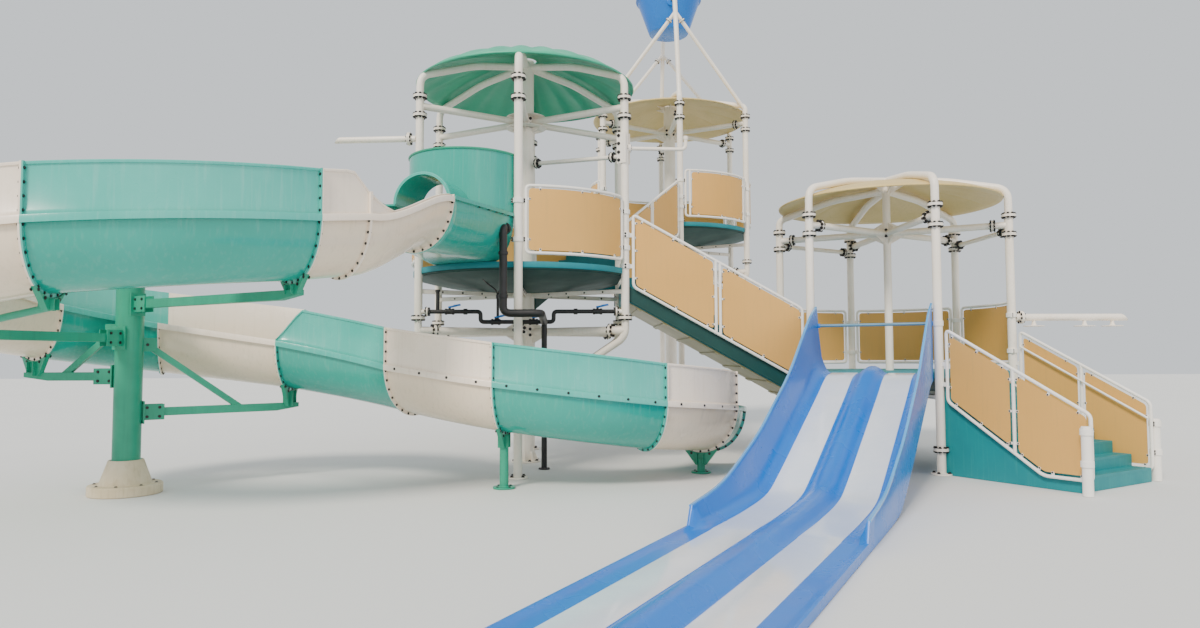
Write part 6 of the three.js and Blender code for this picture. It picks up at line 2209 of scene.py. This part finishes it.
@dataclass
class RacerSlide:
    """The two-lane slide from tower C: one moulding with a rounded divider and pale lanes."""

    plan: TowerPlan = TOWER_C
    half: float = 0.87
    lane_near: float = 0.21
    lane_far: float = 0.63
    pace: float = 0.16
    straight_from: int = 9
    # Distance out, level of the lanes, height of the walls and level of the underside
    line: tuple[tuple[float, float, float, float], ...] = (
        (0.0211, 1.50, 1.05, 1.40),
        (0.45, 1.44, 0.92, 1.31),
        (1.0, 1.20, 0.79, 1.07),
        (1.7, 0.90, 0.62, 0.77),
        (2.5, 0.56, 0.56, 0.43),
        (3.1, 0.31, 0.53, 0.19),
        (3.6, 0.14, 0.52, 0.04),
        (4.5, 0.08, 0.31, 0.0),
        (5.45, 0.075, 0.205, 0.0),
        (5.53, 0.07, 0.025, 0.0),
        (9.1, 0.045, 0.025, 0.0),
    )

    def _at(self, out: float) -> tuple[float, float, float]:
        """Lane level, wall height and underside at a distance out, smooth down to the straight run-out."""
        rows = self.line
        i = max(1, next((k for k, row in enumerate(rows) if row[0] >= out - 1e-9), len(rows) - 1))
        a, b = rows[i - 1], rows[i]
        t = (out - a[0]) / (b[0] - a[0])
        if i >= self.straight_from:
            return tuple(a[k] + (b[k] - a[k]) * t for k in (1, 2, 3))
        before, after = rows[max(0, i - 2)], rows[min(self.straight_from - 1, i + 1)]
        values = []
        for k in (1, 2, 3):
            m0 = (b[k] - before[k]) / (b[0] - before[0]) * (b[0] - a[0])
            m1 = (after[k] - a[k]) / max(after[0] - a[0], 1e-6) * (b[0] - a[0])
            t2, t3 = t * t, t**3
            here, there = (2 * t3 - 3 * t2 + 1) * a[k], (3 * t2 - 2 * t3) * b[k]
            values.append(here + (t3 - 2 * t2 + t) * m0 + there + (t3 - t2) * m1)
        return values[0], values[1], max(GAP, values[2])

    def _half_section(self) -> list[tuple[float, float, float]]:
        """Half of the section as (across, fixed height, share of the wall's height)."""
        heights = [0.112 * (0.5 + 0.5 * math.cos(math.pi * (k / 8) ** 1.4)) for k in range(9)]
        divider = [(self.lane_near * k / 8, height, 0.0) for k, height in enumerate(heights)]
        bend_up = [(self.lane_far + 0.15 * t, 0.0, 0.24 * t**2) for t in (0.25, 0.5, 0.75, 1.0)]
        wall = [(0.79, 0.0, 0.34), (0.82, 0.0, 0.62), (0.838, 0.0, 0.9), (0.844, 0.0, 0.975), (0.852, 0.0, 1.0)]
        return [*divider, (self.lane_far, 0.0, 0.0), *bend_up, *wall, (0.864, 0.0, 1.0), (self.half, 0.0, 0.97)]

    def build(self) -> None:
        """Builds the moulding and lays the pale lanes on it."""
        body, edges = Mould(), Mould()
        stops = sorted({row[0] for row in self.line})
        outs = [stops[0]]
        for a, b in zip(stops, stops[1:]):
            count = max(1, math.ceil((b - a) / self.pace))
            outs += [a + (b - a) * (k + 1) / count for k in range(count)]
        right = self._half_section()
        section = [*[(-u, f, w) for u, f, w in reversed(right)], *right[1:]]
        rings, lanes = [], {1: [], -1: []}
        for out in outs:
            level, wall, under = self._at(out)
            ring = [self.plan.beside(5, out, -u, level + f + w * wall) for u, f, w in section]
            ring += [self.plan.beside(5, out, -u, under) for u in (self.half, -self.half)]
            rings.append(ring)
            for side in (1, -1):
                rows = [(0.222, -0.01), (0.222, 0.004), (0.235, 0.006), (0.60, 0.006), (0.622, 0.005), (0.622, -0.01)]
                lanes[side].append([self.plan.beside(5, out, -side * u, level + v) for u, v in rows])
        body.loft(rings, 0)
        for side in (1, -1):
            body.loft(lanes[side], 1)
            trims = []
            for out in [o for o in outs if o <= 5.45]:
                level, wall, _ = self._at(out)
                rows = [(0.842, -0.012), (0.8765, -0.014), (0.8765, 0.004), (0.866, 0.009), (0.848, 0.009)]
                trims.append([self.plan.beside(5, out, -side * u, level + wall + v) for u, v in rows])
            edges.loft(trims, 0)
        body.piece("racer_moulding", [BLUE_GEL, LANE_GEL], "blue_shell", ["racer_slide"], crease=40)
        # The edge caps take the lighter blue: painted sunlight along the tops of the walls.
        edges.piece("racer_edge_caps", [BLUE_SUNLIT_EDGE], "blue_shell")


@dataclass
class TippingBucket:
    """The bucket on its shaft, and the frame over tower B that carries it."""

    plan: TowerPlan = TOWER_B
    axis: float = 10.15
    low: float = 9.6
    high: float = 10.45
    low_r: float = 0.47
    high_r: float = 0.77
    wall: float = 0.014
    out: float = 1.12
    top: float = 10.33
    node: float = 9.6
    shaft_r: float = 0.032

    def build(self) -> None:
        """Builds the frame on the structure and the bucket on its own body."""
        self._bucket()
        self._frame()

    def _bucket(self) -> None:
        """The tapered shell with its rolled rim, base ring and shaft stubs."""
        body, t, low, high = Mould(), self.wall, self.low, self.high
        slope = (self.high_r - self.low_r) / (high - low)
        rim, base = self.high_r + 0.022, self.low_r
        outer = [(base - 0.02, low), (base - 0.004, low + 0.006), (base + 0.01, low + 0.028)]
        outer += [(base + slope * 0.4, low + 0.4), (self.high_r - slope * 0.045, high - 0.048)]
        outer += [(rim - 0.006, high - 0.045), (rim, high - 0.036), (rim, high - 0.01), (rim - 0.01, high)]
        inner = [(self.high_r - t, high), (self.high_r - t - slope * 0.05, high - 0.05)]
        inner += [(base - t + 0.01, low + t + 0.03), (base - t - 0.02, low + t), (0.002, low + t)]
        body.spin([(0.002, low), *outer, *inner], self.plan.centre(0), sides=64, loop=True)
        wall_r = base + slope * (self.axis - low)
        length = self.out + 0.04 - wall_r + 0.02
        stub = [(self.shaft_r, 0), (self.shaft_r, length - 0.004), (self.shaft_r - 0.004, length)]
        boss = [(0.12, 0.012), (0.12, 0.042), (0.1, 0.05), (0.05, 0.055), (0.04, 0.075), (0.032, 0.08)]
        for sign in (-1, 1):
            start = Vector((self.plan.x, self.plan.y + sign * (wall_r - 0.02), self.axis))
            body.spin(stub, start, Vector((0, sign, 0)), 32, 1)
            body.spin(boss, start, Vector((0, sign, 0)), 32)
        body.piece("bucket_shell", [BLUE_GEL, STEEL_SCREW], "blue_shell", ["tipping_bucket"], "bucket")

    def _frame(self) -> None:
        """Two leaning uprights with side struts and split bearings."""
        plan, steel, bolts = self.plan, Mould(), Fasteners()
        for sign in (-1, 1):
            y = plan.y + sign * self.out
            foot = plan.corner(0 if sign < 0 else 3, plan.high + 0.13)
            head = Vector((plan.x, y, self.top))
            node = foot.lerp(head, (self.node - foot.z) / (head.z - foot.z))
            steel.bar(foot, head, 0.052, 24)
            steel.spin([(0.052, -0.006), (0.056, -0.002), (0.05, 0.006)], head, (head - foot).normalized(), 24)
            for i in (1, 5) if sign < 0 else (2, 4):
                steel.bar(plan.corner(i, plan.high + 0.15), node, 0.042, 20)
                along = (node - plan.corner(i, plan.high + 0.15)).normalized()
                flange_pair(steel, bolts, node - along * 0.24, along, 0.07, 0.042)
            self._bearing(steel, bolts, y)
        steel.piece("bucket_frame", [CREAM_COAT], "cream_steel", ["tower_b_roof"])
        bolts.piece("bucket_frame_bolts", 0.012, 0.014)

    def _bearing(self, steel: Mould, bolts: Fasteners, y: float) -> None:
        """A split bearing block round the shaft."""
        base, axis = Vector((self.plan.x, y - 0.06, self.axis)), Vector((0, 1, 0))
        steel.washer(base, axis, self.shaft_r + 0.0006, 0.095, 0.12, 40)
        for side in (-1, 1):
            for end, way in ((0.0, -1), (0.12, 1)):
                bolts.put(base + axis * end + Vector((side * 0.066, 0, 0)), axis * way)


# ---- Setting


class Setting:
    """The camera, the plain floor and the soft light."""

    place = Vector((0.826, -13.893, 1.764))
    yaw = math.radians(1.83)
    pitch = math.radians(3.03)
    roll = math.radians(-0.19)
    lens = 811.6 / 1200 * 36

    def build(self) -> None:
        """Makes the camera, floor, sky and lamps."""
        self._camera()
        self._floor()
        self._light()

    def _camera(self) -> None:
        """The camera, turned by yaw, pitch and roll."""
        y, p, r = self.yaw, self.pitch, self.roll
        ahead = Vector((math.sin(y) * math.cos(p), math.cos(y) * math.cos(p), math.sin(p)))
        level = Vector((math.cos(y), -math.sin(y), 0))
        above = level.cross(ahead)
        right = level * math.cos(r) + above * math.sin(r)
        up = above * math.cos(r) - level * math.sin(r)
        data = bpy.data.cameras.new("view_camera")
        data.sensor_fit, data.sensor_width, data.lens = "HORIZONTAL", 36.0, self.lens
        data.clip_start, data.clip_end = 0.1, 200.0
        camera = new_object("view_camera", data)
        camera.matrix_world = Matrix.Translation(self.place) @ Matrix((right, up, -ahead)).transposed().to_4x4()
        bpy.context.scene.camera = camera

    def _floor(self) -> None:
        """A wide matt floor just under the feet."""
        mesh = bpy.data.meshes.new("floor")
        reach, level = 60.0, -0.004
        corners = [(-reach, -reach, level), (reach, -reach, level), (reach, reach, level), (-reach, reach, level)]
        mesh.from_pydata(corners, [], [(0, 1, 2, 3)])
        pale = Finish("pale_studio_floor", Surface.CAST, "#dfe1e0", "#d8dbda", 0.85, 40.0, 0.1, 4000, 0.3)
        mesh.materials.append(pale.material())
        new_object("floor", mesh)

    def _light(self) -> None:
        """A pale even sky, a soft high sun from the left and a weak fill."""
        world = bpy.data.worlds.new("studio_sky")
        world.use_nodes = True
        sky = world.node_tree.nodes["Background"]
        sky.inputs["Color"].default_value = linear("#e9eef2")
        sky.inputs["Strength"].default_value = 1.05
        bpy.context.scene.world = world
        lamps = (("soft_sun", (48, 0, -32), 3.2, 14.0), ("soft_fill", (62, 0, 38), 0.5, 60.0))
        for name, turn, strength, soft in lamps:
            data = bpy.data.lights.new(name, "SUN")
            data.energy, data.angle = strength, math.radians(soft)
            data.color = linear("#fff4e6")[:3]
            new_object(name, data).rotation_euler = [math.radians(a) for a in turn]


def sub_assemblies() -> Iterable[object]:
    """The sub-assemblies of the structure in the order they are built."""
    for plan in (TOWER_A, TOWER_B, TOWER_C):
        yield TowerFrame(plan)
    every = (0, 1, 2, 3, 4, 5)
    yield RoofArms(TOWER_A, 6.8877, ((every, 6.30, 6.64, 6.775),), "tower_a_roof_arms")
    yield RoofArms(TOWER_B, 7.90, ((every, 7.55, 7.785, 7.885),), "tower_b_roof")
    yield RoofArms(TOWER_C, 4.83, (((5, 0, 1), 4.49, 4.715, 4.815), ((2, 3, 4), 4.27, 4.55, 4.64)), "tower_c_roof")
    yield Canopy(TOWER_A, "tower_a_roof", TEAL_CANOPY, "teal_roof", 1.85, 0.026, 24, 0.06, 0.75)
    yield Canopy(TOWER_B, "tower_b_roof", CREAM_CANOPY, "cream_roof", 1.83, 0.024, 12, 0.016, 26)
    yield Canopy(TOWER_C, "tower_c_roof", CREAM_CANOPY, "cream_roof", 1.83, 0.024, 12, 0.016, 26)
    yield Deck(TOWER_A, (0, 3, 4, 5))
    yield Deck(TOWER_B, (0, 1, 2, 3, 4))
    yield Deck(TOWER_C, (1, 2, 3))
    yield DeckFrame(TOWER_A, 2.39, 2.19, 2.08, 1.06)
    yield DeckFrame(TOWER_B, 3.93, 3.70, 3.56, 2.50)
    yield Guards(TOWER_A, (0,), "tower_a_front_guard")
    yield Guards(TOWER_A, (3, 4), "tower_a_rear_guards")
    yield Guards(TOWER_B, (0, 1, 2, 3, 4), "tower_b_guards", True)
    yield Guards(TOWER_C, (1, 2, 3), "tower_c_guards")
    yield TowerStair("stair_ac", TOWER_A, 1, TOWER_A.deck, TOWER_C.deck)
    yield TowerStair("stair_ab", TOWER_A, 2, TOWER_A.deck, TOWER_B.deck)
    yield DownStair()
    yield FlumeSupports()
    yield Tub()
    yield Manifold()
    yield SprayPipe(TOWER_A, 5, 5.27, (-1, 0.1), 1.4, "tower_a_left_spray", 0.05, 0.105, 0.17)
    yield SprayPipe(TOWER_A, 1, 5.13, (1, 0.05), 1.0, "tower_a_right_spray", 0.03, 0.066, 0.077, 0.22)
    boom = (0.365, 1.204, 1.666)
    yield SprayPipe(TOWER_C, 1, 2.385, (1, 0), 1.92, "tower_c_spray", 0.057, 0.105, 0.15, 0.0, boom)
    yield RacerSlide()
    yield SlideBar()
    yield TippingBucket()


def build_flume() -> None:
    """Builds the thirteen pieces of the flume and their bolts."""
    joints, bolts = flume_joints(), Fasteners()
    for number, (part, start) in enumerate(zip(FLUME_PARTS, joints), 1):
        FlumePiece(number, part, start).build(bolts)
    bolts.piece("flume_bolts", 0.0125, 0.014)


def main() -> None:
    """Builds the sub-assemblies in order and sets the scene."""
    logging.basicConfig(level=logging.INFO, format="%(message)s")
    Setting().build()
    for assembly in sub_assemblies():
        assembly.build()
    build_flume()


if __name__ == "__main__":
    main()
